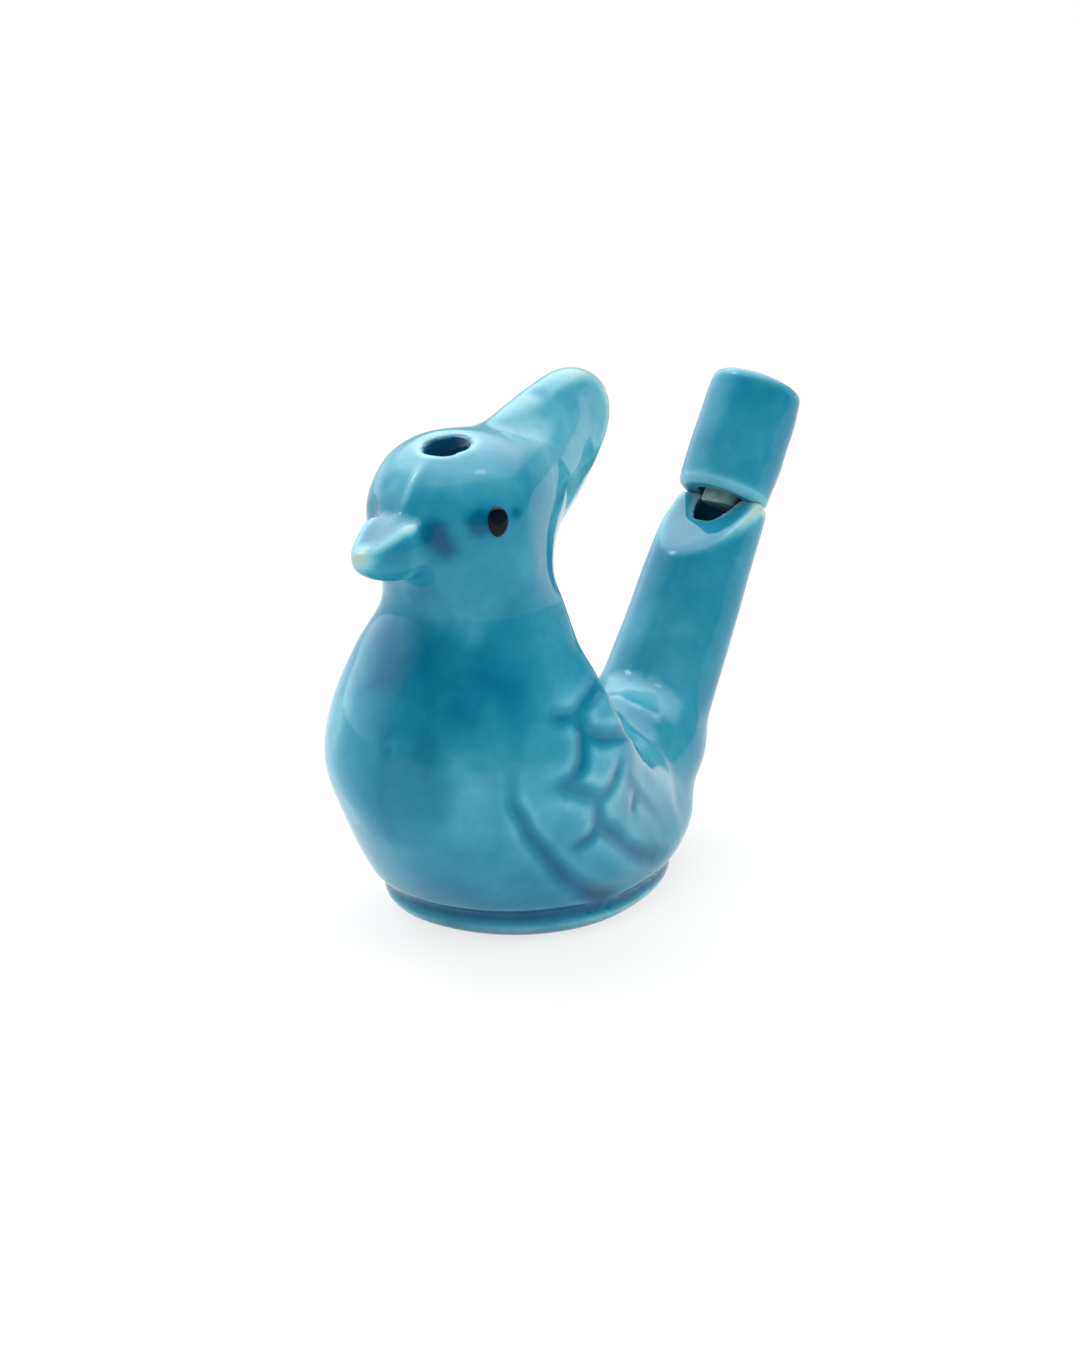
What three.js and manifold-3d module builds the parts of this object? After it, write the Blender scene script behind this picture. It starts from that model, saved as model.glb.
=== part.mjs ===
// A glazed ceramic bird water whistle. Two moulded half shells are luted together with slip round a
// water chamber, a slab closes the foot, and the tail is a tube with a fipple mouthpiece.
// Millimetres. The bird faces -Y, its left side is +X, and it stands on Z = 0.

import * as THREE from 'three';
import { mergeVertices } from 'three/addons/utils/BufferGeometryUtils.js';
import Module from 'manifold-3d';

const wasm = await Module();
wasm.setup();

// Clay and joints
const wall = 2.6;                // thickness of the moulded shell
const slip = 0.4;                // luting slip between flat joined faces
const collarSlip = 0.6;          // luting slip at the slanted tail joints
const jointGap = 0.3;            // clearance kept at the slanted joints, the block and the eyes

// Slab that closes the foot
const slabThickness = 2.6;
const slabLip = 0.5;             // how far the slab stands past the body
const slabEdgeRise = 2.4;        // its rounded lower edge, upwards
const slabEdgeInset = 3.2;       // and inwards

// Body sections from the foot to the top of the head, as shares of three sizes. up is the height above
// the slab as a share of bodyHeight. front and back are the reach ahead of and behind the middle of the
// foot, and wide is how far ahead of it the section is widest, as shares of bodyReach. half is half the
// width as a share of bodyWidth. sweep is how much further back the solid root of the crest reaches, as a
// share of bodyReach: the head's outside narrows into it, and the chamber inside does not.
const bodyHeight = 55.5;         // from the slab to the top of the head
const bodyReach = 25.4;          // from the middle of the foot to the front of the breast
const bodyWidth = 35.1;          // across the breast
const bodySections = [
  { name: 'foot', up: 0, front: 0.600, back: 0.895, half: 0.430, wide: 0 },
  { name: 'hip', up: 0.079, front: 0.760, back: 1.165, half: 0.472, wide: 0.047 },
  { name: 'belly', up: 0.205, front: 0.921, back: 0.984, half: 0.487, wide: 0.197 },
  { name: 'breast', up: 0.314, front: 1, back: 0.413, half: 0.5, wide: 0.276 },
  { name: 'shoulder', up: 0.431, front: 0.969, back: 0.177, half: 0.461, wide: 0.315 },
  { name: 'collar', up: 0.539, front: 0.852, back: 0.060, half: 0.391, wide: 0.323 },
  { name: 'neck', up: 0.656, front: 0.713, back: -0.008, half: 0.285, wide: 0.362 },
  { name: 'cheek', up: 0.764, front: 0.783, back: 0.016, half: 0.292, wide: 0.400, sweep: 0.219 },
  { name: 'brow', up: 0.863, front: 0.823, back: 0.039, half: 0.298, wide: 0.394, sweep: 0.381 },
  { name: 'crown', up: 0.942, front: 0.724, back: 0, half: 0.248, wide: 0.390, sweep: 0.360 },
  { name: 'poll', up: 0.986, front: 0.575, back: -0.134, half: 0.158, wide: 0.370, sweep: 0.074 },
  { name: 'top', up: 1, front: 0.386, back: -0.307, half: 0.028, wide: 0.346 },
];

const headFoot = 0.5;            // above the neck section, where the head starts to narrow backwards
const headFade = 5;              // height over which it comes in
const headTurn = { out: 0.95, back: 0.30 };   // where the head's side turns, as shares of its half and length
const headCorner = { out: 0.32, back: 0.87 }; // where the side ends
const headEnd = 0.24;            // half width of its rounded end, as a share of half

// Upper edge of each folded wing: a crease from above the neck section, past two bends, to above the hip
// section. out is a share of bodyWidth, back of bodyReach and up of bodyHeight.
const wingRoot = { out: 0.199, back: -0.083, up: 0.068 };
const wingHigh = { out: 0.322, back: -0.177 };
const wingLow = { out: 0.525, back: -0.185 };
const wingTip = { out: 0.345, back: 0.575, up: 0.068 };
const wingFlatness = 0.3;        // share of the way to the wing's edge at which its side turns towards it
const wingFade = 5;              // height over which the crease dies away at each end

// Crest: a paddle in the middle plane. back and up are measured from the middle of the brow section, as
// shares of crestReach. The dish is a shallow hollow in each of its faces.
const crestReach = 27.1;         // from the middle of the brow to the crest's far end
const crestThickness = 5;
const crestEdgeRound = 1.6;
const crestOutline = [
  { back: -0.037, up: 0.096 },
  { back: 0.212, up: 0.280 },
  { back: 0.568, up: 0.392 },
  { back: 0.790, up: 0.420 },
  { back: 0.950, up: 0.344 },
  { back: 1, up: 0.206 },
  { back: 0.955, up: 0.072 },
  { back: 0.800, up: -0.095 },
  { back: 0.560, up: -0.255 },
  { back: 0.262, up: -0.350 },
];
// The head narrows into the crest through a root of oval sections. back and up are measured as above, and
// tall and half are half the height and half the width as shares of crestReach.
const crestRoot = [
  { back: 0.100, up: -0.015, tall: 0.235, half: 0.310 },
  { back: 0.220, up: -0.015, tall: 0.262, half: 0.276 },
  { back: 0.340, up: -0.005, tall: 0.275, half: 0.230 },
  { back: 0.460, up: 0.020, tall: 0.275, half: 0.180 },
  { back: 0.580, up: 0.055, tall: 0.280, half: 0.134 },
  { back: 0.720, up: 0.085, tall: 0.242, half: 0.094 },
];
const dishPlace = { back: 0.738, up: 0.184 };
const dishLength = 13;
const dishHeight = 9;
const dishDepth = 0.7;
const dishLean = 25;             // degrees

// Beak: sections from inside the head to the tip. ahead of the brow is a share of beakLength, half of
// beakWidth, and top and bottom, from the middle of the brow, of beakHeight.
const beakLength = 8.0;
const beakWidth = 7.8;
const beakHeight = 7.4;
const beakSections = [
  { ahead: -0.523, half: 0.590, top: 0.270, bottom: -0.865 },
  { ahead: 0.209, half: 0.490, top: 0.108, bottom: -0.892 },
  { ahead: 0.674, half: 0.310, top: -0.122, bottom: -0.743 },
  { ahead: 0.930, half: 0.185, top: -0.230, bottom: -0.595 },
  { ahead: 1, half: 0.110, top: -0.297, bottom: -0.514 },
];
const beakSquareness = 0.7;      // 1 is oval, and less flattens the beak above and below

// Filling hole through the crown, and the eyes on the brow section
const fillHoleDiameter = 5.8;
const fillHoleAhead = 3;         // ahead of the middle of the brow
const eyeDiameter = 2.8;
const eyeProud = 0.5;
const eyeTurn = 58;              // degrees from straight ahead

// Tail: a tube that leans back, on a stub that the body swells into
const tailLean = 33.4;           // degrees from upright
const tailBehindHip = -0.4;      // from the back of the hip section to the middle of the stub's rim
const tailAboveHip = 9.0;
const tailLength = 25.4;         // from the stub to the mouthpiece
const tailRootDiameter = 14.2;
const tailTopDiameter = 12.0;
const tailBore = 5.2;
const spigotWall = 1.6;
const spigotLength = 2.6;
const stubRootRadius = 7.6;
const stubRootBack = 6;          // where the stub starts inside the body
const stubRootAboveHip = 5.5;
const stubBend = 8.3;            // straight run below the stub's rim before it bends into the body
const stubSwell = 1.0;           // extra radius halfway
const stubSpread = 1.6;          // extra half width halfway

// Whistle window, mouthpiece and fipple block
const rampLength = 7.9;          // along the tube, below the mouthpiece
const rampInset = 1.0;           // from the ramp's top edge back to the tube's axis
const mouthpieceDiameter = 11.6;
const mouthpieceLength = 15.6;
const mouthpieceSwell = 0.25;
const mouthpieceEdgeRound = 1.0;
const windwayHeight = 1.2;
const blockDrop = 1.1;           // how far the block hangs into the window

// How finely round shapes are divided
const roundSides = 28;
const beakSides = 14;
const eyeSides = 12;
const dishSides = 16;
const sectionSteps = { front: 8, side: 6, back: 4 };
const ringsPerSection = 2;
const stubSteps = 8;
const slabEdgeSteps = 5;
const crestEdgeSteps = 3;
const crestStepsPerCorner = 4;
const weldDistance = 1e-4;
const circleCorner = Math.SQRT2 - 1;
const far = 200;                 // reaches past the whole object from any place in it

// Glazes, bare clay and enamel
const glaze = { color: 0x5bb4cf, roughness: 0.12, metalness: 0 };
const slipGlaze = { color: 0x3a93b4, roughness: 0.2, metalness: 0 };
const paleClay = { color: 0xb9cbbf, roughness: 0.5, metalness: 0 };
const eyeEnamel = { color: 0x1a1310, roughness: 0.15, metalness: 0 };

// Closed meshes and solids

function facingOut(geometry) {
  const plain = geometry.index ? geometry : mergeVertices(geometry);
  const place = plain.attributes.position;
  const order = plain.index.array;
  const corner = [new THREE.Vector3(), new THREE.Vector3(), new THREE.Vector3()];
  let volume = 0;
  for (let i = 0; i < order.length; i += 3) {
    corner.forEach((point, k) => point.fromBufferAttribute(place, order[i + k]));
    volume += corner[0].dot(corner[1].cross(corner[2]));
  }
  if (volume < 0) {
    order.reverse();
  }
  return plain;
}

function toSolid(geometry) {
  const bare = geometry.clone();
  bare.deleteAttribute('normal');
  bare.deleteAttribute('uv');
  const closed = facingOut(mergeVertices(bare, weldDistance));
  return new wasm.Manifold(new wasm.Mesh({
    numProp: 3,
    vertProperties: new Float32Array(closed.attributes.position.array),
    triVerts: new Uint32Array(closed.index.array),
  }));
}

// The solid's mesh, without triangles that close up when its corners are welded
function toGeometry(solid) {
  const mesh = solid.getMesh();
  const raw = new THREE.BufferGeometry();
  raw.setAttribute('position', new THREE.BufferAttribute(mesh.vertProperties, 3));
  raw.setIndex(new THREE.BufferAttribute(mesh.triVerts, 1));
  const geometry = mergeVertices(raw, weldDistance);
  const order = geometry.index.array;
  const open = [];
  for (let i = 0; i < order.length; i += 3) {
    const [a, b, c] = order.slice(i, i + 3);
    if (a !== b && b !== c && c !== a) {
      open.push(a, b, c);
    }
  }
  geometry.setIndex(open);
  geometry.computeVertexNormals();
  return geometry;
}

// Rings of equal length joined side by side and closed by a fan at each end
function loft(rings) {
  const points = [];
  const order = [];
  const count = rings[0].length;
  rings.forEach((ring) => ring.forEach((p) => points.push(p.x, p.y, p.z)));
  for (let r = 0; r + 1 < rings.length; r += 1) {
    for (let i = 0; i < count; i += 1) {
      const here = r * count + i;
      const next = r * count + (i + 1) % count;
      order.push(here, next, next + count, here, next + count, here + count);
    }
  }
  [0, rings.length - 1].forEach((r) => {
    const centre = new THREE.Vector3();
    rings[r].forEach((p) => centre.addScaledVector(p, 1 / count));
    const hub = points.length / 3;
    points.push(centre.x, centre.y, centre.z);
    for (let i = 0; i < count; i += 1) {
      const here = r * count + i;
      const next = r * count + (i + 1) % count;
      order.push(hub, ...(r === 0 ? [next, here] : [here, next]));
    }
  });
  const geometry = new THREE.BufferGeometry();
  geometry.setAttribute('position', new THREE.Float32BufferAttribute(points, 3));
  geometry.setIndex(order);
  return geometry;
}

// A round piece turned about +Z from a closed profile of [radius, height] corners
function turned(corners, sides = roundSides) {
  const profile = [...corners, corners[0]].map(([radius, height]) => new THREE.Vector2(radius, height));
  return new THREE.LatheGeometry(profile, sides).rotateX(Math.PI / 2);
}

// A prism across the whole width from an outline of [y, z] corners in the middle plane
function prism(corners) {
  const shape = new THREE.Shape(corners.map(([y, z]) => new THREE.Vector2(y, z)));
  const geometry = new THREE.ExtrudeGeometry(shape, { depth: far, bevelEnabled: false });
  return acrossWidth(geometry, far);
}

// Turns a shape drawn in X and Y and pushed along Z so that it is drawn in Y and Z and centred on X
function acrossWidth(geometry, width) {
  const turn = new THREE.Matrix4().makeBasis(
    new THREE.Vector3(0, 1, 0),
    new THREE.Vector3(0, 0, 1),
    new THREE.Vector3(1, 0, 0),
  );
  return geometry.translate(0, 0, -width / 2).applyMatrix4(turn);
}

function boxSolid(low, high) {
  const size = high.clone().sub(low);
  const centre = low.clone().add(high).multiplyScalar(0.5);
  return toSolid(new THREE.BoxGeometry(size.x, size.y, size.z).translate(centre.x, centre.y, centre.z));
}

// Sections of the body

const slabTop = slabThickness;
const bodyFoot = slabTop + slip;
const headTop = slabTop + bodyHeight;
const levels = bodySections.map((section) => ({
  name: section.name,
  z: slabTop + section.up * bodyHeight,
  front: section.front * bodyReach,
  back: section.back * bodyReach,
  half: section.half * bodyWidth,
  wide: section.wide * bodyReach,
  sweep: (section.sweep ?? 0) * bodyReach,
}));

function level(name) {
  return levels.find((section) => section.name === name);
}

const brow = level('brow');
const browShare = levels.indexOf(brow) / (levels.length - 1);
const hip = level('hip');
const headStart = level('neck').z + headFoot;
const wingTop = level('neck').z + wingRoot.up * bodyHeight;
const wingFoot = hip.z + wingTip.up * bodyHeight;
const tailFootBack = hip.back + tailBehindHip;
const tailFootHeight = hip.z + tailAboveHip;
const stubRootHeight = hip.z + stubRootAboveHip;

function splineOf(key) {
  return new THREE.SplineCurve(levels.map((section) => new THREE.Vector2(section[key], section.z)));
}

const bodyCurves = {
  front: splineOf('front'),
  back: splineOf('back'),
  half: splineOf('half'),
  wide: splineOf('wide'),
  sweep: splineOf('sweep'),
};

const wingCrease = new THREE.CubicBezierCurve(...[wingRoot, wingHigh, wingLow, wingTip].map(
  (p) => new THREE.Vector2(p.out * bodyWidth, p.back * bodyReach),
));

// Section at a share of the way from foot to top. swept is 1 for the outside and 0 for the chamber.
function sectionAt(t, swept = 1) {
  const front = bodyCurves.front.getPoint(t);
  const back = bodyCurves.back.getPoint(t).x + swept * Math.max(0, bodyCurves.sweep.getPoint(t).x);
  const half = bodyCurves.half.getPoint(t).x;
  const wideY = -bodyCurves.wide.getPoint(t).x;
  const z = front.y;
  const sideTurn = new THREE.Vector2(half, wideY + circleCorner * (back - wideY));
  const backTurn = new THREE.Vector2(circleCorner * half, back);
  const corner = sideTurn.clone().add(backTurn).multiplyScalar(0.5);
  const along = (z - wingTop) / (wingFoot - wingTop);
  const crease = wingCrease.getPoint(along);
  const rising = THREE.MathUtils.smoothstep(z, wingFoot - wingFade, wingFoot);
  const falling = 1 - THREE.MathUtils.smoothstep(z, wingTop - wingFade, wingTop);
  const folded = rising * falling;
  corner.lerp(crease, folded);
  sideTurn.y = THREE.MathUtils.lerp(sideTurn.y, wideY + wingFlatness * (crease.y - wideY), folded);
  const length = back - wideY;
  const onHead = swept * THREE.MathUtils.smoothstep(z, headStart, headStart + headFade);
  corner.lerp(new THREE.Vector2(headCorner.out * half, wideY + headCorner.back * length), onHead);
  sideTurn.lerp(new THREE.Vector2(headTurn.out * half, wideY + headTurn.back * length), onHead);
  backTurn.lerp(new THREE.Vector2(headEnd * half, back), onHead);
  return { z, half, frontY: -front.x, wideY, backY: back, sideTurn, backTurn, corner };
}

// Half outline from the middle of the front round the left side to the middle of the back
function halfOutline(section) {
  const points = [];
  for (let i = 0; i < sectionSteps.front; i += 1) {
    const angle = (Math.PI / 2) * (i / sectionSteps.front);
    const y = section.wideY + (section.frontY - section.wideY) * Math.cos(angle);
    points.push(new THREE.Vector2(section.half * Math.sin(angle), y));
  }
  const widest = new THREE.Vector2(section.half, section.wideY);
  const middle = new THREE.Vector2(0, section.backY);
  const side = new THREE.QuadraticBezierCurve(widest, section.sideTurn, section.corner);
  const rear = new THREE.QuadraticBezierCurve(section.corner, section.backTurn, middle);
  points.push(...side.getPoints(sectionSteps.side).slice(0, -1));
  points.push(...rear.getPoints(sectionSteps.back));
  return points;
}

// Whole outline, drawn in by inset all round
function outlineRing(section, inset, z) {
  const left = halfOutline(section);
  const right = left.slice(1, -1).reverse().map((p) => new THREE.Vector2(-p.x, p.y));
  const whole = [...left, ...right];
  return whole.map((p, i) => {
    const before = whole[(i + whole.length - 1) % whole.length];
    const after = whole[(i + 1) % whole.length];
    const along = after.clone().sub(before).normalize();
    return new THREE.Vector3(p.x - along.y * inset, p.y + along.x * inset, z);
  });
}

// The body's round form from the slab to the top of the head
function bodyForm() {
  const steps = (levels.length - 1) * ringsPerSection;
  const rings = [];
  for (let i = 0; i <= steps; i += 1) {
    const section = sectionAt(i / steps);
    rings.push(outlineRing(section, 0, section.z));
  }
  return toSolid(loft(rings));
}

// The hollow inside it, open below, up to a wall's thickness under the top of the head
function chamberForm() {
  const steps = (levels.length - 1) * ringsPerSection;
  const rings = [outlineRing(sectionAt(0, 0), wall, slabTop - wall)];
  for (let i = 0; i <= steps; i += 1) {
    const section = sectionAt(i / steps, 0);
    if (section.z < headTop - wall && section.half > 2 * wall) {
      rings.push(outlineRing(section, wall, section.z));
    }
  }
  return toSolid(loft(rings));
}

// Tail frame: +Z along the tube from the stub's rim, -Y towards the bird's back

const tailFrame = new THREE.Matrix4()
  .makeRotationX(-THREE.MathUtils.degToRad(tailLean))
  .setPosition(0, tailFootBack, tailFootHeight);

function onTail(geometry) {
  return toSolid(geometry.clone().applyMatrix4(tailFrame));
}

// A bent round form from inside the body up to the stub's rim, drawn in by inset
function stubForm(inset, rimRadius, reach) {
  const rim = new THREE.Vector3().applyMatrix4(tailFrame);
  const upTail = new THREE.Vector3(0, 0, 1).transformDirection(tailFrame);
  const start = new THREE.Vector3(0, stubRootBack, stubRootHeight);
  const bend = rim.clone().addScaledVector(upTail, -stubBend);
  const path = new THREE.QuadraticBezierCurve3(start, bend, rim);
  const rings = [];
  for (let i = 0; i <= stubSteps; i += 1) {
    const t = i / stubSteps;
    const centre = path.getPoint(t);
    const forward = path.getTangent(t);
    const bulge = Math.sin(Math.PI * t);
    const radius = THREE.MathUtils.lerp(stubRootRadius - inset, rimRadius, t) + stubSwell * bulge;
    rings.push(ringAbout(centre, forward, radius, radius + stubSpread * bulge));
  }
  if (reach > 0) {
    rings.push(ringAbout(rim.clone().addScaledVector(upTail, reach), upTail, rimRadius, rimRadius));
  }
  return toSolid(loft(rings));
}

// An oval ring square to a direction in the middle plane
function ringAbout(centre, forward, radius, halfWidth) {
  const up = new THREE.Vector3().crossVectors(forward, new THREE.Vector3(1, 0, 0));
  const ring = [];
  for (let i = 0; i < roundSides; i += 1) {
    const angle = (2 * Math.PI * i) / roundSides;
    const p = centre.clone().addScaledVector(up, radius * Math.sin(angle));
    p.x += halfWidth * Math.cos(angle);
    ring.push(p);
  }
  return ring;
}

// Crest and beak

// A place in the middle plane, as [y, z], from its shares of the crest's reach
function onCrest(p) {
  return new THREE.Vector2(p.back * crestReach - brow.wide, brow.z + p.up * crestReach);
}

function crestForm() {
  const corners = crestOutline.map((p) => onCrest(p));
  const edge = new THREE.SplineCurve([...corners, corners[0]]);
  const outline = edge.getPoints(corners.length * crestStepsPerCorner).slice(0, -1);
  const depth = crestThickness - 2 * crestEdgeRound;
  const plate = new THREE.ExtrudeGeometry(new THREE.Shape(outline), {
    depth,
    bevelThickness: crestEdgeRound,
    bevelSize: crestEdgeRound,
    bevelOffset: -crestEdgeRound,
    bevelSegments: crestEdgeSteps,
  });
  return toSolid(acrossWidth(plate, depth));
}

// Shallow hollow in one face of the crest
function crestHollow(side) {
  const middle = onCrest(dishPlace);
  return toSolid(new THREE.SphereGeometry(1, dishSides, dishSides / 2)
    .scale(2 * dishDepth, dishLength / 2, dishHeight / 2)
    .rotateX(THREE.MathUtils.degToRad(dishLean))
    .translate(side * (crestThickness / 2 + dishDepth), middle.x, middle.y));
}

function crestRootForm() {
  const rings = crestRoot.map((section) => {
    const middle = onCrest(section);
    const ring = [];
    for (let i = 0; i < roundSides; i += 1) {
      const angle = (2 * Math.PI * i) / roundSides;
      ring.push(new THREE.Vector3(
        section.half * crestReach * Math.cos(angle),
        middle.x,
        middle.y + section.tall * crestReach * Math.sin(angle),
      ));
    }
    return ring;
  });
  return toSolid(loft(rings));
}

function beakForm() {
  const rings = beakSections.map((section) => {
    const y = -(brow.front + section.ahead * beakLength);
    const half = section.half * beakWidth;
    const middle = brow.z + ((section.top + section.bottom) / 2) * beakHeight;
    const reach = ((section.top - section.bottom) / 2) * beakHeight;
    const ring = [];
    for (let i = 0; i < beakSides; i += 1) {
      const angle = (2 * Math.PI * i) / beakSides;
      const lift = Math.sign(Math.sin(angle)) * Math.abs(Math.sin(angle)) ** beakSquareness;
      ring.push(new THREE.Vector3(half * Math.cos(angle), y, middle + reach * lift));
    }
    return ring;
  });
  return toSolid(loft(rings));
}

// Eyes

function eyePlace(side) {
  const section = sectionAt(browShare);
  const turn = THREE.MathUtils.degToRad(eyeTurn);
  const sunk = eyeDiameter / 2 - eyeProud;
  const x = (section.half - sunk) * Math.sin(turn);
  const y = section.wideY + (section.frontY - section.wideY + sunk) * Math.cos(turn);
  return new THREE.Vector3(side * x, y, section.z);
}

function eyeBall(radius, place) {
  return new THREE.SphereGeometry(radius, eyeSides, eyeSides / 2).translate(place.x, place.y, place.z);
}

// The whole shell before it is parted into halves and slip

const tailBoreRadius = tailBore / 2;
const tailRootRadius = tailRootDiameter / 2;
const tailTopRadius = tailTopDiameter / 2;
const spigotRadius = tailBoreRadius + spigotWall;
const socketRadius = spigotRadius + jointGap;
const socketDepth = spigotLength + jointGap;

const fillHoleY = -(brow.wide + fillHoleAhead);

function shellForm() {
  const fill = new THREE.CylinderGeometry(fillHoleDiameter / 2, fillHoleDiameter / 2, headTop, roundSides)
    .rotateX(Math.PI / 2)
    .translate(0, fillHoleY, brow.z + headTop / 2);
  const socket = turned([[0, -socketDepth], [socketRadius, -socketDepth], [socketRadius, wall], [0, wall]]);
  return bodyForm()
    .add(stubForm(0, tailRootRadius, 0))
    .add(crestForm().subtract(crestHollow(1)).subtract(crestHollow(-1)))
    .add(crestRootForm())
    .add(beakForm())
    .subtract(chamberForm())
    .subtract(stubForm(wall, tailBoreRadius, wall))
    .subtract(toSolid(fill))
    .subtract(onTail(socket))
    .subtract(toSolid(eyeBall(eyeDiameter / 2 + jointGap, eyePlace(1))))
    .subtract(toSolid(eyeBall(eyeDiameter / 2 + jointGap, eyePlace(-1))));
}

const seam = slip / 2;
const shell = shellForm();
const aboveFoot = shell.intersect(boxSolid(
  new THREE.Vector3(-far, -far, bodyFoot),
  new THREE.Vector3(far, far, far),
));
const seamSheet = aboveFoot.intersect(boxSolid(
  new THREE.Vector3(-seam, -far, 0),
  new THREE.Vector3(seam, far, far),
));

function halfShell(side) {
  const low = new THREE.Vector3(side > 0 ? seam : -far, -far, 0);
  const high = new THREE.Vector3(side > 0 ? far : -seam, far, far);
  return aboveFoot.intersect(boxSolid(low, high));
}

// Slip on the middle plane, in the three stretches that the filling hole, the tail bore and the open foot
// leave. Each stretch lies in a sector round the middle of the chamber.
function seamSlip(corners) {
  return seamSheet.intersect(toSolid(prism(corners)));
}

const chamberMiddle = [0, stubRootHeight];
const neckMiddle = [fillHoleY, brow.z];
const aboveFillHole = [fillHoleY, far];
const stubStart = [stubRootBack, stubRootHeight];
const tailRim = [tailFootBack, tailFootHeight];
const tailReach = new THREE.Vector3(0, 0, far).applyMatrix4(tailFrame);
const beyondTail = [tailReach.y, tailReach.z];

function breastSlip() {
  return seamSlip([chamberMiddle, neckMiddle, aboveFillHole, [-far, far], [-far, -far], [0, -far]]);
}

function napeSlip() {
  return seamSlip([chamberMiddle, stubStart, tailRim, beyondTail, aboveFillHole, neckMiddle]);
}

function rumpSlip() {
  return seamSlip([chamberMiddle, [0, -far], [far, -far], beyondTail, tailRim, stubStart]);
}

function footSlip() {
  return shell.intersect(boxSolid(
    new THREE.Vector3(-far, -far, slabTop),
    new THREE.Vector3(far, far, bodyFoot),
  ));
}

function closingSlab() {
  const foot = sectionAt(0);
  const rings = [];
  for (let i = 0; i <= slabEdgeSteps; i += 1) {
    const angle = (Math.PI / 2) * (i / slabEdgeSteps);
    const drawnIn = slabEdgeInset * (1 - Math.sin(angle)) - slabLip;
    rings.push(outlineRing(foot, drawnIn, slabEdgeRise * (1 - Math.cos(angle))));
  }
  rings.push(outlineRing(foot, -slabLip, slabTop));
  return toSolid(loft(rings));
}

// Tail tube, mouthpiece and block, in the tail frame

const collarTop = 2 * jointGap + collarSlip;
const tubeTop = collarTop + tailLength;
const mouthpieceFoot = tubeTop + 2 * jointGap + collarSlip;
const mouthpieceTop = mouthpieceFoot + mouthpieceLength;

// Everything in front of the ramp that the window is cut down to
function windowCut() {
  const frontFace = -tailTopRadius;
  const rise = rampLength / (tailTopRadius - rampInset);
  const overrun = wall;
  return toSolid(prism([
    [frontFace - overrun, tubeTop - rampLength - overrun * rise],
    [-rampInset + overrun, tubeTop + overrun * rise],
    [frontFace - overrun, tubeTop + overrun * rise],
  ]));
}

function tailTube() {
  const tube = turned([
    [tailBoreRadius, -spigotLength],
    [spigotRadius, -spigotLength],
    [spigotRadius, collarTop],
    [tailRootRadius, collarTop],
    [tailTopRadius, tubeTop],
    [tailBoreRadius, tubeTop],
  ]);
  return toSolid(tube).subtract(windowCut());
}

function tailCollarSlip() {
  return toSolid(turned([
    [socketRadius, jointGap],
    [tailRootRadius, jointGap],
    [tailRootRadius, jointGap + collarSlip],
    [socketRadius, jointGap + collarSlip],
  ]));
}

function mouthpieceSlip() {
  const low = tubeTop + jointGap;
  const ring = turned([
    [tailBoreRadius, low],
    [tailTopRadius, low],
    [tailTopRadius, low + collarSlip],
    [tailBoreRadius, low + collarSlip],
  ]);
  return toSolid(ring).subtract(windowCut());
}

function mouthpiece() {
  const radius = mouthpieceDiameter / 2;
  const edge = mouthpieceEdgeRound;
  const middle = (mouthpieceFoot + mouthpieceTop) / 2;
  return toSolid(turned([
    [tailBoreRadius, mouthpieceFoot],
    [radius - edge, mouthpieceFoot],
    [radius, mouthpieceFoot + edge],
    [radius + mouthpieceSwell, middle],
    [radius, mouthpieceTop - edge],
    [radius - edge, mouthpieceTop],
    [tailBoreRadius, mouthpieceTop],
  ]));
}

// A round plug with a flat in front, which leaves the windway open in the mouthpiece's bore
function fippleBlock() {
  const radius = tailBoreRadius - jointGap;
  const length = mouthpieceTop - mouthpieceFoot + blockDrop;
  const flat = tailBoreRadius - windwayHeight;
  const halfAngle = Math.acos(flat / radius);
  const outline = new THREE.Shape();
  outline.absarc(0, 0, radius, -Math.PI / 2 + halfAngle, (3 * Math.PI) / 2 - halfAngle, false);
  outline.closePath();
  const rod = new THREE.ExtrudeGeometry(outline, {
    depth: length,
    bevelEnabled: false,
    curveSegments: roundSides,
  });
  return toSolid(rod.translate(0, 0, mouthpieceFoot - blockDrop));
}

// Assembly

function piece(name, solid, finish) {
  const mesh = new THREE.Mesh(toGeometry(solid), new THREE.MeshStandardMaterial(finish));
  mesh.name = name;
  return mesh;
}

const whistle = new THREE.Group();
whistle.add(piece('base_slab', closingSlab(), glaze));
whistle.add(piece('base_joint_slip', footSlip(), slipGlaze));
whistle.add(piece('left_body_half', halfShell(1), glaze));
whistle.add(piece('right_body_half', halfShell(-1), glaze));
whistle.add(piece('breast_seam_slip', breastSlip(), slipGlaze));
whistle.add(piece('nape_seam_slip', napeSlip(), slipGlaze));
whistle.add(piece('rump_seam_slip', rumpSlip(), slipGlaze));
whistle.add(piece('left_eye', toSolid(eyeBall(eyeDiameter / 2, eyePlace(1))), eyeEnamel));
whistle.add(piece('right_eye', toSolid(eyeBall(eyeDiameter / 2, eyePlace(-1))), eyeEnamel));

const tail = new THREE.Group();
tail.applyMatrix4(tailFrame);
tail.add(piece('tail_joint_slip', tailCollarSlip(), slipGlaze));
tail.add(piece('tail_tube', tailTube(), glaze));
tail.add(piece('mouthpiece_joint_slip', mouthpieceSlip(), slipGlaze));
tail.add(piece('mouthpiece', mouthpiece(), glaze));
tail.add(piece('fipple_block', fippleBlock(), paleClay));
whistle.add(tail);

export default whistle;
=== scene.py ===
import math
import bpy
import numpy as np
from mathutils import Matrix, Vector, noise
from mathutils.bvhtree import BVHTree


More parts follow.
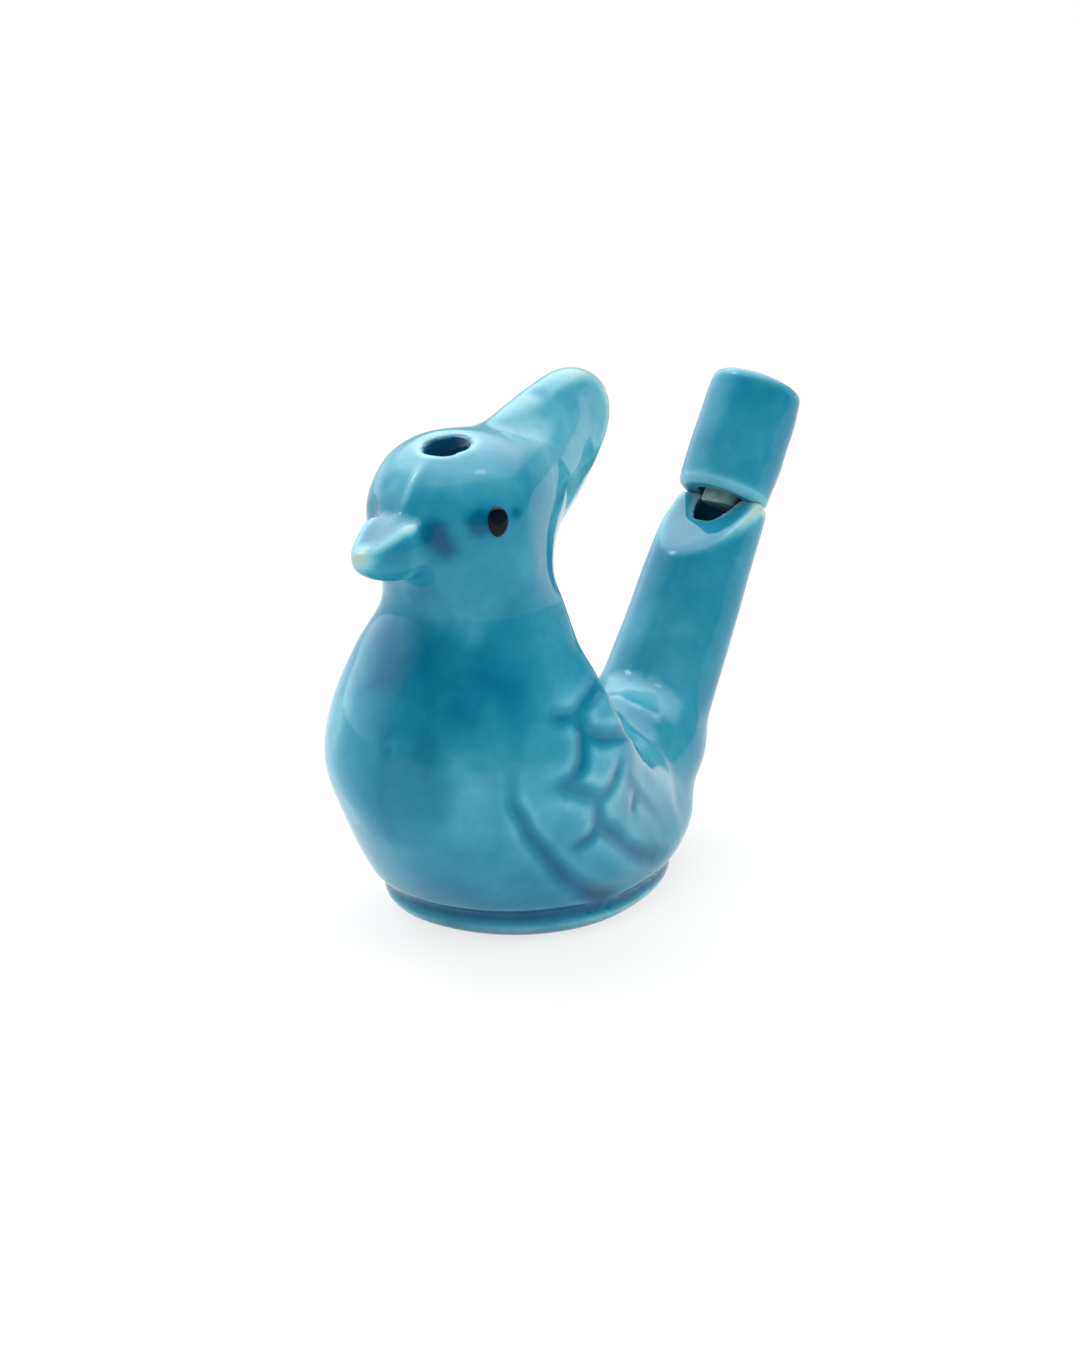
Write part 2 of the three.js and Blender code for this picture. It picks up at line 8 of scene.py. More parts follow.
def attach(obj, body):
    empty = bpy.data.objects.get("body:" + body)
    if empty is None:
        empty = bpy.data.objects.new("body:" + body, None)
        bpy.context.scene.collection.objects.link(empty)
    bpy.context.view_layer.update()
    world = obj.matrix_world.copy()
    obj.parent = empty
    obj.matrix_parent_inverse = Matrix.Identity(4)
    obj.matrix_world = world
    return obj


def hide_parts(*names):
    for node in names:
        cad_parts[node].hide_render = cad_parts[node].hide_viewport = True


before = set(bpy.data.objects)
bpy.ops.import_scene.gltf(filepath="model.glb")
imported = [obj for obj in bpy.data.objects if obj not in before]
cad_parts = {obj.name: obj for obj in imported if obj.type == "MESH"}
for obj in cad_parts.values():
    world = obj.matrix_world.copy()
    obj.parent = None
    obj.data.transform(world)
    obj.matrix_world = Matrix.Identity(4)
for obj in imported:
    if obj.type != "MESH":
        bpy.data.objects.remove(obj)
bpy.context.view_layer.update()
scene = bpy.context.scene
mm = 0.001  # shapes below are in millimetres, objects in metres


# small tools for points and meshes

def smoothstep(low, high, value):  # rises from low to high, or falls where low is the greater
    share = np.clip((np.asarray(value, float) - low) / (high - low), 0, 1)
    return share * share * (3 - 2 * share)


def within(points, spans):  # soft mask: a span of two values is one fade, one of four fades in and out
    x, y, z = points.T
    ways = {"x": x, "side": np.abs(x), "y": y, "z": z}
    mask = np.ones(len(points))
    for way, span in spans.items():
        mask *= smoothstep(span[0], span[1], ways[way])
        if len(span) == 4:
            mask *= smoothstep(span[3], span[2], ways[way])
    return mask


def awayFrom(points, place):
    return np.linalg.norm(points - np.asarray(place, float), axis=-1)


def softSpot(points, place, reach):  # 1 at the place, dying away round it
    return np.exp(-(awayFrom(points, place) / reach) ** 2)


def onLeftSide(points):  # the right side is laid over the left
    return np.column_stack([np.abs(points[:, 0]), points[:, 1:]])


def unit(vectors):
    return vectors / np.maximum(np.linalg.norm(vectors, axis=-1, keepdims=True), 1e-12)


def roundAngles(count):
    return np.linspace(0, 2 * math.pi, count, endpoint=False)


def circle(radius, count=64):
    angle = roundAngles(count)
    return np.column_stack([np.cos(angle), np.sin(angle)]) * radius


def atHeight(outline, height):
    return np.column_stack([outline, np.full(len(outline), height)])


def spline(points, shares):  # a smooth line through points, shares run from 0 to 1
    points = np.asarray(points, float)
    place = np.asarray(shares, float) * (len(points) - 1)
    start = np.minimum(place.astype(int), len(points) - 2)
    t = (place - start)[:, None]
    here, there = points[start], points[start + 1]
    slopeHere = (there - points[np.maximum(start - 1, 0)]) / 2
    slopeThere = (points[np.minimum(start + 2, len(points) - 1)] - here) / 2
    return (here + slopeHere * t + (3 * (there - here) - 2 * slopeHere - slopeThere) * t ** 2
            + (2 * (here - there) + slopeHere + slopeThere) * t ** 3)


def bezier(corners, shares):
    t = np.asarray(shares, float)[:, None]
    if len(corners) == 3:
        a, b, c = (np.asarray(corner, float) for corner in corners)
        return (1 - t) ** 2 * a + 2 * t * (1 - t) * b + t ** 2 * c
    a, b, c, d = (np.asarray(corner, float) for corner in corners)
    return (1 - t) ** 3 * a + 3 * t * (1 - t) ** 2 * b + 3 * t ** 2 * (1 - t) * c + t ** 3 * d


def newItem(name, points, faces, edges=()):
    mesh = bpy.data.meshes.new(name)
    mesh.from_pydata((np.asarray(points) * mm).tolist(), list(edges), faces)
    mesh.update()
    item = bpy.data.objects.new(name, mesh)
    scene.collection.objects.link(item)
    return item


def loft(name, rings):  # closed form through rings of equal length, a fan on each end
    rings = np.asarray(rings, float)
    count, around = rings.shape[:2]
    points = np.concatenate([rings.reshape(-1, 3), rings[[0, -1]].mean(axis=1)])
    faces = []
    for ring in range(count - 1):
        for i in range(around):
            a, b = ring * around + i, ring * around + (i + 1) % around
            faces.append((a, b, b + around, a + around))
    last = (count - 1) * around
    for i in range(around):
        faces.append((count * around, (i + 1) % around, i))
        faces.append((count * around + 1, last + i, last + (i + 1) % around))
    a, b, c = points[np.array([face[:3] for face in faces])].transpose(1, 0, 2)
    quads = points[np.array([face[-3:] for face in faces if len(face) == 4])]
    volume = np.sum(a * np.cross(b, c)) + np.sum(quads[:, 0] * np.cross(quads[:, 1], quads[:, 2]))
    if volume < 0:
        faces = [face[::-1] for face in faces]
    return newItem(name, points, faces)


def settle(item):  # makes the modifiers' result the item's own mesh
    graph = bpy.context.evaluated_depsgraph_get()
    mesh = bpy.data.meshes.new_from_object(item.evaluated_get(graph))
    item.modifiers.clear()
    item.data = mesh


def combine(base, tool, operation):
    step = base.modifiers.new(operation.lower(), "BOOLEAN")
    step.operation = operation
    step.solver = "MANIFOLD"
    step.object = tool
    settle(base)
    bpy.data.objects.remove(tool)


def pointsOf(mesh):
    flat = np.empty(len(mesh.vertices) * 3)
    mesh.vertices.foreach_get("co", flat)
    return flat.reshape(-1, 3) / mm


def edgesOf(mesh):
    flat = np.empty(len(mesh.edges) * 2, dtype=np.int64)
    mesh.edges.foreach_get("vertices", flat)
    return flat.reshape(-1, 2)


def normalsOf(mesh):
    flat = np.empty(len(mesh.vertices) * 3)
    mesh.vertex_normals.foreach_get("vector", flat)
    return flat.reshape(-1, 3)


def surfaceOf(mesh):  # for casting rays at it
    return BVHTree.FromPolygons([Vector(point) for point in pointsOf(mesh)],
                                [tuple(face.vertices) for face in mesh.polygons])


def putPoints(mesh, points):
    mesh.vertices.foreach_set("co", (points * mm).ravel())
    mesh.update()


def putValues(mesh, name, values):
    layer = mesh.attributes.new(name, "FLOAT", "POINT")
    layer.data.foreach_set("value", np.asarray(values, np.float32))


def smoothFaces(mesh):
    mesh.polygons.foreach_set("use_smooth", [True] * len(mesh.polygons))


def facingOut(mesh):  # turns a closed mesh's faces outwards
    volume = sum(face.center.dot(face.normal) * face.area for face in mesh.polygons)
    if volume < 0:
        mesh.flip_normals()


def gather(index, values, count):
    return np.stack([np.bincount(index, values[:, axis], count) for axis in range(values.shape[1])], axis=1)


def neighbourMean(points, edges):
    count = len(points)
    share = np.bincount(edges.ravel(), minlength=count)[:, None]
    total = gather(edges[:, 0], points[edges[:, 1]], count) + gather(edges[:, 1], points[edges[:, 0]], count)
    return total / np.maximum(share, 1)


def relax(points, edges, passes, share=1.0):  # the share is one number, or a mask over the points
    weight = 0.5 * np.reshape(share, (-1, 1))
    for _ in range(passes):
        points = points + weight * (neighbourMean(points, edges) - points)
    return points


def cloudOf(points, size, seed):
    shift = Vector((seed, 2 * seed, 3 * seed))
    return np.array([noise.fractal(Vector(point) / size + shift, 1.0, 2.0, 3) for point in points])


# small tools for node trees

def nodeTools(tree):
    def node(kind, settings=None, **inputs):  # inputs go by name, or by place as i0, i1, i2
        made = tree.nodes.new(kind)
        for name, value in (settings or {}).items():
            setattr(made, name, value)
        for name, value in inputs.items():
            socket = made.inputs[int(name[1:]) if name in ("i0", "i1", "i2") else name]
            if isinstance(value, bpy.types.NodeSocket):
                tree.links.new(value, socket)
            else:
                socket.default_value = value
        return made

    def maths(operation, a, b):
        return node("ShaderNodeMath", {"operation": operation}, i0=a, i1=b).outputs[0]

    def mapped(value, low, high, toLow, toHigh, kind="SMOOTHSTEP"):
        ends = {"From Min": low, "From Max": high, "To Min": toLow, "To Max": toHigh}
        return node("ShaderNodeMapRange", {"interpolation_type": kind}, Value=value, **ends).outputs[0]

    return node, maths, mapped


def shaderTools(owner):  # for a material or the world
    owner.use_nodes = True
    owner.node_tree.nodes.clear()
    return nodeTools(owner.node_tree)


def shapingTree(name, sizes):
    tree = bpy.data.node_groups.new(name, "GeometryNodeTree")
    face = tree.interface
    face.new_socket("Geometry", in_out="INPUT", socket_type="NodeSocketGeometry")
    for label, kind in sizes.items():
        face.new_socket(label, in_out="INPUT", socket_type=kind)
    face.new_socket("Geometry", in_out="OUTPUT", socket_type="NodeSocketGeometry")
    return tree


def endTree(node, geometry, material):
    real = node("GeometryNodeRealizeInstances", i0=geometry)
    finish = node("GeometryNodeSetMaterial", Geometry=real.outputs[0], Material=material)
    node("NodeGroupOutput", Geometry=finish.outputs["Geometry"])


def shapeBy(item, tree, sizes):  # sets the tree's inputs by their identifiers
    step = item.modifiers.new(tree.name, "NODES")
    step.node_group = tree
    for socket in tree.interface.items_tree:
        if socket.in_out == "INPUT" and socket.name in sizes:
            step[socket.identifier] = sizes[socket.name]
    settle(item)


# the glazed bird: the two moulded halves, the slab and the tail tube under one glaze

birdForm = {
    "slabTop": 2.6, "height": 55.5, "reach": 25.4, "width": 35.1, "sunk": 1.2,
    "sections": [  # up, front, back, half width, widest place
        (0, 0.600, 0.895, 0.430, 0), (0.079, 0.760, 1.165, 0.472, 0.047),
        (0.205, 0.921, 0.984, 0.487, 0.197), (0.314, 1, 0.413, 0.5, 0.276),
        (0.431, 0.969, 0.177, 0.461, 0.315), (0.539, 0.852, 0.060, 0.391, 0.323),
        (0.656, 0.713, -0.008, 0.285, 0.362), (0.764, 0.790, 0.235, 0.290, 0.420),
        (0.863, 0.835, 0.420, 0.290, 0.460), (0.942, 0.735, 0.360, 0.243, 0.430),
        (0.986, 0.575, -0.060, 0.155, 0.390), (1, 0.386, -0.307, 0.028, 0.346)],
    "wingCrease": [(0.199, -0.083), (0.322, -0.177), (0.525, -0.185), (0.345, 0.575)],
    "wingTop": 42.8, "wingFoot": 10.8, "wingFade": 5, "wingFlatness": 0.3,
    "turn": 0.414, "headFoot": 39.5, "headFade": 5,
    "headCorner": (0.32, 0.87), "headSide": (0.90, 0.28), "headBack": 0.24,  # shares across and back
    "steps": (22, 18, 14), "rings": 180, "voxel": 0.40}
brow = {"middle": -10.0, "front": 20.9, "height": 50.5}  # the head's section through the eyes


def birdOutline(form, share):
    tall, reach, width = form["height"], form["reach"], form["width"]
    sections = np.array(form["sections"]) * [tall, reach, reach, width, reach]
    up, front, back, half, wide = spline(sections, [share])[0]
    height, wideY = form["slabTop"] + up, -wide

    def behind(across, share):  # between the widest place and the back
        return np.array([across * half, wideY + share * (back - wideY)])

    sideTurn = behind(1, form["turn"])
    backTurn = behind(form["turn"], 1)
    corner = (sideTurn + backTurn) / 2
    top, foot, fade = form["wingTop"], form["wingFoot"], form["wingFade"]
    crease = bezier(np.array(form["wingCrease"]) * [width, reach], [(height - top) / (foot - top)])[0]
    folded = smoothstep(foot - fade, foot, height) * smoothstep(top, top - fade, height)
    corner = corner + (crease - corner) * folded
    sideTurn[1] += (wideY + form["wingFlatness"] * (crease[1] - wideY) - sideTurn[1]) * folded
    onHead = smoothstep(form["headFoot"], form["headFoot"] + form["headFade"], height)
    corner = corner + (behind(*form["headCorner"]) - corner) * onHead  # the head narrows back into the crest
    sideTurn = sideTurn + (behind(*form["headSide"]) - sideTurn) * onHead
    backTurn = backTurn + (behind(form["headBack"], 1) - backTurn) * onHead
    breastSteps, sideSteps, rearSteps = form["steps"]
    angle = np.linspace(0, math.pi / 2, breastSteps, endpoint=False)
    breast = np.stack([half * np.sin(angle), wideY - (front + wideY) * np.cos(angle)], axis=1)
    side = bezier([(half, wideY), sideTurn, corner], np.linspace(0, 1, sideSteps, endpoint=False))
    rear = bezier([corner, backTurn, (0, back)], np.linspace(0, 1, rearSteps))
    left = np.concatenate([breast, side, rear])
    return np.concatenate([left, left[-2:0:-1] * [-1, 1]]), height


def birdBody(form):
    foot, footHeight = birdOutline(form, 0)
    rings = [atHeight(foot, footHeight - form["sunk"])]
    for share in np.linspace(0, 1, form["rings"]):
        rings.append(atHeight(*birdOutline(form, share)))
    return loft("birdBody", rings)


slabForm = {"thickness": 2.6, "lip": 0.5, "edgeRise": 2.4, "edgeInset": 3.2, "edgeSteps": 8}


def drawnIn(outline, inset):
    along = unit(np.roll(outline, -1, axis=0) - np.roll(outline, 1, axis=0))
    return outline + np.stack([-along[:, 1], along[:, 0]], axis=1) * inset


def slab(form):
    foot = birdOutline(birdForm, 0)[0]
    rings = []
    for angle in np.linspace(0, math.pi / 2, form["edgeSteps"]):
        inset = form["edgeInset"] * (1 - math.sin(angle)) - form["lip"]
        rings.append(atHeight(drawnIn(foot, inset), form["edgeRise"] * (1 - math.cos(angle))))
    rings.append(atHeight(drawnIn(foot, -form["lip"]), form["thickness"]))
    return loft("slab", rings)


# crest: a paddle with a thick rim round a shallow dish in each face
crestForm = {
    "reach": 27.1, "halfThickness": 2.5, "edge": 2.4,
    "outline": [(-0.037, 0.096), (0.212, 0.280), (0.568, 0.392), (0.790, 0.420), (0.950, 0.344),
                (1, 0.206), (0.955, 0.072), (0.800, -0.095), (0.560, -0.255), (0.262, -0.350)],
    "spine": [(0.18, 0.0), (0.50, 0.09), (0.80, 0.19)],
    "dish": 0.7, "dishFade": (9, 17), "crispFade": (12, 22),  # behind the brow
    "dishStart": (1.9, 1.6), "dishEnd": (6.5, 3.3),  # in from the outline, where the rim is soft and crisp
    "rings": 22, "innermost": 0.995, "crowding": 1.4,
    "rootSquare": 0.88, "rootRings": 30,
    "root": [(0.100, -0.015, 0.235, 0.310), (0.220, -0.015, 0.262, 0.276), (0.340, -0.005, 0.275, 0.230),
             (0.460, 0.020, 0.280, 0.200), (0.580, 0.055, 0.285, 0.170), (0.720, 0.085, 0.245, 0.124),
             (0.860, 0.105, 0.140, 0.078)]}  # back, up, half height, half width


def crest(form):
    outline = spline(form["outline"] + form["outline"][:1], np.linspace(0, 1, 161))[:-1] * form["reach"]
    spine = spline(form["spine"], np.linspace(0, 1, 60)) * form["reach"]
    gap = awayFrom(outline[:, None], spine)
    inner = spine[gap.argmin(axis=1)]
    depth = gap.min(axis=1)
    dish = form["dish"] * smoothstep(*form["dishFade"], outline[:, 0])  # dies away towards the head
    crisp = smoothstep(*form["crispFade"], outline[:, 0])  # the rim is sharpest behind
    start, end = [np.interp(crisp, (0, 1), form[key]) for key in ("dishStart", "dishEnd")]

    def ring(share, side):
        inside = depth * share
        rounded = np.sqrt(1 - (1 - np.minimum(inside / form["edge"], 1)) ** 2)
        thick = form["halfThickness"] * rounded - dish * smoothstep(start, end, inside)
        flat = outline + (inner - outline) * share + [brow["middle"], brow["height"]]
        return np.column_stack([side * np.maximum(thick, 0), flat])

    shares = np.linspace(0, form["innermost"], form["rings"]) ** form["crowding"]
    leftRings = [ring(share, 1) for share in shares[::-1]]
    rightRings = [ring(share, -1) for share in shares[1:]]
    return loft("crest", leftRings + rightRings)


def crestRoot(form):  # the head narrows into the crest
    across, upright = np.sign(circle(1)).T * np.abs(circle(1)).T ** form["rootSquare"]
    rings = []
    for back, up, tall, half in spline(form["root"], np.linspace(0, 1, form["rootRings"])) * form["reach"]:
        y = np.full(len(across), back + brow["middle"])
        rings.append(np.column_stack([half * across, y, brow["height"] + up + tall * upright]))
    return loft("crestRoot", rings)


# beak: a flat roof between two ridges, narrower below
beakForm = {
    "length": 8.0, "width": 7.8, "height": 7.4, "lean": -0.45, "leanFade": (1, 0.3), "rear": -20,
    "sections": [(-0.523, 0.450, 0.120, -0.865), (0.209, 0.47, 0.015, -0.860),  # ahead, half, top, bottom
                 (0.674, 0.310, -0.140, -0.735), (0.930, 0.185, -0.235, -0.590), (1, 0.110, -0.297, -0.514)],
    "halfSection": [(0, 0.95), (0.35, 0.95), (0.62, 0.96), (0.78, 0.92), (0.91, 0.60), (1, 0.1),
                    (0.93, -0.4), (0.64, -0.85), (0, -1)],
    "ridge": 0.76, "ridgeDrop": 0.03, "ridgeStart": 0.25, "rings": 30}


def onBeak(form, ahead, across, up):  # from shares of the beak's length, width and height
    lean = form["lean"] * smoothstep(*form["leanFade"], ahead)
    return (across * form["width"] + lean, -(brow["front"] + ahead * form["length"]),
            brow["height"] + up * form["height"])


def beak(form):
    half = spline(form["halfSection"], np.linspace(0, 1, 33))
    section = np.concatenate([half, half[-2:0:-1] * [-1, 1]])
    rings = []
    for ahead, wide, top, bottom in spline(form["sections"], np.linspace(0, 1, form["rings"])):
        middle, reach = (top + bottom) / 2, (top - bottom) / 2
        rings.append([onBeak(form, ahead, x * wide, middle + z * reach) for x, z in section])
    return loft("beak", rings)


def beakRidges(form):
    lines = []
    for hand in (1, -1):
        line = [onBeak(form, ahead, hand * form["ridge"] * wide, top - form["ridgeDrop"])
                for ahead, wide, top, _ in form["sections"]]
        lines.append(spline(line, np.linspace(form["ridgeStart"], 1, 60)))
    return lines


# tail tube, on a stub that grows out of the back
tailForm = {
    "lean": 33.4, "rim": (29.2, 15.98), "stubStart": (6, 12.48), "bend": 8.3, "swell": 1.0, "spread": 1.6,
    "stubRadius": 7.6, "rootRadius": 7.1, "topRadius": 6.0, "top": 27.95, "bore": 2.6, "boreEnds": (13, 31),
    "rampTop": 26.6, "rampLength": 7.9, "rampInset": 1.0, "rampOver": 3.0, "rampHalf": 20}
tailTilt = math.radians(tailForm["lean"])
tailUp = np.array([math.sin(tailTilt), math.cos(tailTilt)])


def fromTail(points):  # from the tail's own frame, +Z up the tube and -Y towards the bird
    x, y, z = np.asarray(points, float).T
    return np.column_stack([x, y * tailUp[1] + z * tailUp[0] + tailForm["rim"][0],
                            z * tailUp[1] - y * tailUp[0] + tailForm["rim"][1]])


def inTail(points):  # into the tail's own frame
    away = points[:, 1:] - np.array(tailForm["rim"])
    return np.column_stack([points[:, 0], away @ np.array([tailUp[1], -tailUp[0]]), away @ tailUp])


def tailSweep(form):
    rim = np.array(form["rim"])
    shares = np.linspace(0, 1, 40)
    path = bezier([form["stubStart"], rim - tailUp * form["bend"], rim], shares)
    bulge = np.sin(math.pi * shares)
    stub, root = form["stubRadius"], form["rootRadius"]
    radius = stub + (root - stub) * shares + form["swell"] * bulge
    wide = radius + form["spread"] * bulge
    run = np.linspace(0, form["top"], 30)[1:]
    path = np.concatenate([path, rim + run[:, None] * tailUp])
    straight = root + (form["topRadius"] - root) * run / form["top"]
    radius, wide = np.append(radius, straight), np.append(wide, straight)
    ahead = unit(np.gradient(path, axis=0))
    angle = roundAngles(72)
    rings = []
    for place, heading, r, w in zip(path, ahead, radius, wide):
        side = np.array([-heading[1], heading[0]])
        flat = place + np.sin(angle)[:, None] * r * side
        rings.append(np.column_stack([w * np.cos(angle), flat]))
    return loft("tail", rings)


def tailBore(form):
    outline = circle(form["bore"])
    return loft("tailBore", [fromTail(atHeight(outline, height)) for height in form["boreEnds"]])


def windowCut(form):  # all that stands in front of the ramp
    front, top, over = -form["topRadius"], form["rampTop"], form["rampOver"]
    rise = form["rampLength"] / (form["topRadius"] - form["rampInset"])
    corners = [(front - over, top - form["rampLength"] - over * rise),
               (-form["rampInset"] + over, top + over * rise), (front - over, top + over * rise)]
    ends = (-form["rampHalf"], form["rampHalf"])
    return loft("windowCut", [fromTail([(x, y, z) for y, z in corners]) for x in ends])


holeForm = {"radius": 2.55, "middle": -13.0, "ends": (53.4, 64)}


def fillHole(form):
    outline = circle(form["radius"]) + [0, form["middle"]]
    return loft("fillHole", [atHeight(outline, height) for height in form["ends"]])


bird = birdBody(birdForm)
for lump in (slab(slabForm), crest(crestForm), crestRoot(crestForm), beak(beakForm), tailSweep(tailForm)):
    combine(bird, lump, "UNION")
for hollow in (fillHole(holeForm), windowCut(tailForm), tailBore(tailForm)):
    combine(bird, hollow, "DIFFERENCE")
skinStep = bird.modifiers.new("skin", "REMESH")
skinStep.mode = "VOXEL"
skinStep.voxel_size = birdForm["voxel"] * mm
settle(bird)
print("clay joined:", len(bird.data.vertices), "points")

# the glaze softens edges and fills inner corners
glazeFlow = {
    "soften": 4, "beakShare": 0.35, "behindBeak": (-23.5, -21), "fill": 45, "jointFill": 220,
    "joints": [{"y": (14.5, 18), "z": (4, 6, 20, 24)},  # tail
               {"y": (-9, -5, 9, 13), "z": (41, 44, 54, 57)},  # crest
               {"y": (-27, -24, -18, -15), "z": (39, 42, 47.5, 50)}],  # beak
    "smoothed": [(2, {}),  # passes, and where
                 (24, {"side": (1.6, 2.6), "y": (0, 3, 11, 14), "z": (41, 44, 54, 57)}),
                 (40, {"side": (1.8, 2.4), "y": (3, 6, 12, 16), "z": (44, 47)})],
    "thickness": 0.15, "aboveFoot": (0.1, 1.5),
    "holeRim": (4.6, 3.4), "holeRimFoot": 53, "holePasses": 5}
flowEdges = edgesOf(bird.data)


def fillHollows(mesh, points, edges, passes, share):
    for step in range(passes):
        if step % 8 == 0:  # normals are read afresh every eighth pass
            putPoints(mesh, points)
            normals = normalsOf(mesh)
        pull = np.sum((neighbourMean(points, edges) - points) * normals, axis=1)
        points = points + 0.5 * (share * np.maximum(pull, 0))[:, None] * normals
    return points


def holeAway(points):
    return awayFrom(points[:, :2], (0, holeForm["middle"]))


def flowGlaze(mesh, edges, form):
    skin = pointsOf(mesh)
    crisp = form["beakShare"] + (1 - form["beakShare"]) * smoothstep(*form["behindBeak"], skin[:, 1])
    skin = relax(skin, edges, form["soften"], crisp)  # the beak stays crisper
    skin = fillHollows(mesh, skin, edges, form["fill"], 1.0)
    joints = np.max([within(skin, where) for where in form["joints"]], axis=0)
    skin = fillHollows(mesh, skin, edges, form["jointFill"], joints)
    for passes, where in form["smoothed"]:
        skin = relax(skin, edges, passes, within(skin, where))
    putPoints(mesh, skin)
    coat = form["thickness"] * smoothstep(*form["aboveFoot"], skin[:, 2])  # the foot stays flat
    skin = skin + normalsOf(mesh) * coat[:, None]
    nearRim = smoothstep(*form["holeRim"], holeAway(skin)) * (skin[:, 2] > form["holeRimFoot"])
    putPoints(mesh, relax(skin, edges, form["holePasses"], nearRim))


flowGlaze(bird.data, flowEdges, glazeFlow)
print("glaze flowed over the joints")

# hand-made unevenness and small marks
handForm = {
    "wobble": 0.16, "wobbleSize": 9.0, "aboveFoot": (0.1, 1.5),
    "keelLift": 0.36, "keelHalf": 0.8, "keel": {"y": (-24, -22.5, -18.2, -16.6), "z": (49.5, 51.5)},
    "socket": (8.6, -17.2, 51.0), "socketDepth": 0.25, "socketReach": 6.0,
    "ridgeLift": 0.3, "ridgeHalf": 0.7, "steepness": 1.5,
    "marks": [  # place, reach, depth below (+) or above (-) the surface
        ((0.65, -24.85, 25.2), 0.8, 0.3), ((16.7, -0.1, 14.8), 0.8, 1.0), ((9.0, -14.7, 36.5), 0.5, 0.15),
        ((0.9, 3.2, 60.4), 1.1, 0.3), ((-3.1, -18.8, 53.7), 1.2, 0.25), ((-5.2, -19.4, 50.9), 1.3, 0.3),
        ((2.2, 18.4, 20.0), 1.9, -0.45), ((4.6, 18.6, 19.0), 1.5, -0.5), ((6.6, 19.3, 17.7), 1.7, -0.45),
        ((-2.6, 18.4, 19.8), 1.9, -0.4), ((-5.6, 19.0, 18.3), 1.6, -0.45)]}


def handMarks(points, normals, form):
    lift = np.array([form["wobble"] * noise.noise(Vector(point) / form["wobbleSize"]) for point in points])
    lift += form["keelLift"] * within(points, form["keel"]) * np.exp(-(points[:, 0] / form["keelHalf"]) ** 2)
    away = awayFrom(onLeftSide(points), form["socket"])
    lift -= form["socketDepth"] * np.clip(1 - (away / form["socketReach"]) ** 2, 0, 1) ** 2
    front = np.flatnonzero(points[:, 1] < beakForm["rear"])
    for line in beakRidges(beakForm):
        away = awayFrom(points[front, None], line).min(axis=1)
        lift[front] += form["ridgeLift"] * np.exp(-(away / form["ridgeHalf"]) ** 2)
    for place, reach, depth in form["marks"]:
        lift -= depth * softSpot(points, place, reach) ** form["steepness"]
    lift *= smoothstep(*form["aboveFoot"], points[:, 2])  # the foot stays flat
    return points + normals * lift[:, None]


skin = handMarks(pointsOf(bird.data), normalsOf(bird.data), handForm)
putPoints(bird.data, skin)

# each folded wing stands a little proud, and its upper edge leans out and back
wingForm = {
    "lift": 0.25, "edge": 3.2, "highest": 36,
    "where": {"side": (6.5, 9), "y": (-15, 3, 11, 16), "z": (4, 8)},
    "top": [(-6.2, 36.8), (-4.2, 33), (-1.4, 29.2), (-0.2, 26.6), (0.7, 23.9),  # back and up
            (1.6, 20.8), (3.9, 17.9), (6.6, 15.6), (9.5, 14.0), (12.5, 12.9), (14.8, 11.2), (15.8, 9),
            (16, 6), (15.8, 4)],
    "lean": (0.63, 0.62, 0.48), "reach": 2.4, "innermost": 5, "rimSpan": (-14, 20),
    "rim": [(11.9, -4.9, 34.6, 0), (13.4, -4.8, 30.8, 0.9), (15.5, -4.6, 26.5, 1.4), (16.0, -1.6, 22.1, 1.3),
            (15.0, 1.9, 20.0, 0.9), (14.6, 4.3, 18.2, 0.5), (14.3, 7.3, 15.1, 0.4), (13.7, 12.6, 12.4, 0.4),
            (12.6, 15.2, 9.5, 0)],  # place, and how far it leans
    "smoothed": [(4, {"y": (-21, -18)}),  # passes, and where
                 (12, {"side": (7, 9), "y": (-6, -2, 16, 19), "z": (8, 11, 32, 36)})],
    "behind": (10.0, 10.4, 17.8), "behindReach": 4.2, "behindPasses": 60}


def raisedWing(points, form):
    top = spline(form["top"], np.linspace(0, 1, 120))
    lift = form["lift"] * within(points, form["where"]) * (points[:, 2] < form["highest"])
    near = np.flatnonzero(lift)
    y, z = points[near, 1:].T
    away = awayFrom(points[near, None, 1:], top).min(axis=1)
    below = y < np.interp(z, top[::-1, 1], top[::-1, 0])
    lift[near] *= smoothstep(0, form["edge"], away) * below
    return lift


def leaningRim(points, form):
    rim = spline(form["rim"], np.linspace(0, 1, 80))
    x, y, z = points.T
    first, last = form["rimSpan"]
    near = np.flatnonzero((np.abs(x) > form["innermost"]) & (y > first) & (y < last))
    away = awayFrom(onLeftSide(points[near])[:, None], rim[:, :3])
    lean = rim[away.argmin(axis=1), 3] * np.exp(-(away.min(axis=1) / form["reach"]) ** 2)
    shift = np.zeros_like(points)
    shift[near] = lean[:, None] * form["lean"]
    shift[:, 0] *= np.sign(x)
    return shift


skin = skin + normalsOf(bird.data) * raisedWing(skin, wingForm)[:, None] + leaningRim(skin, wingForm)
for passes, where in wingForm["smoothed"]:
    skin = relax(skin, flowEdges, passes, within(skin, where))
behindWing = softSpot(onLeftSide(skin), wingForm["behind"], wingForm["behindReach"])
putPoints(bird.data, relax(skin, flowEdges, wingForm["behindPasses"], behindWing))

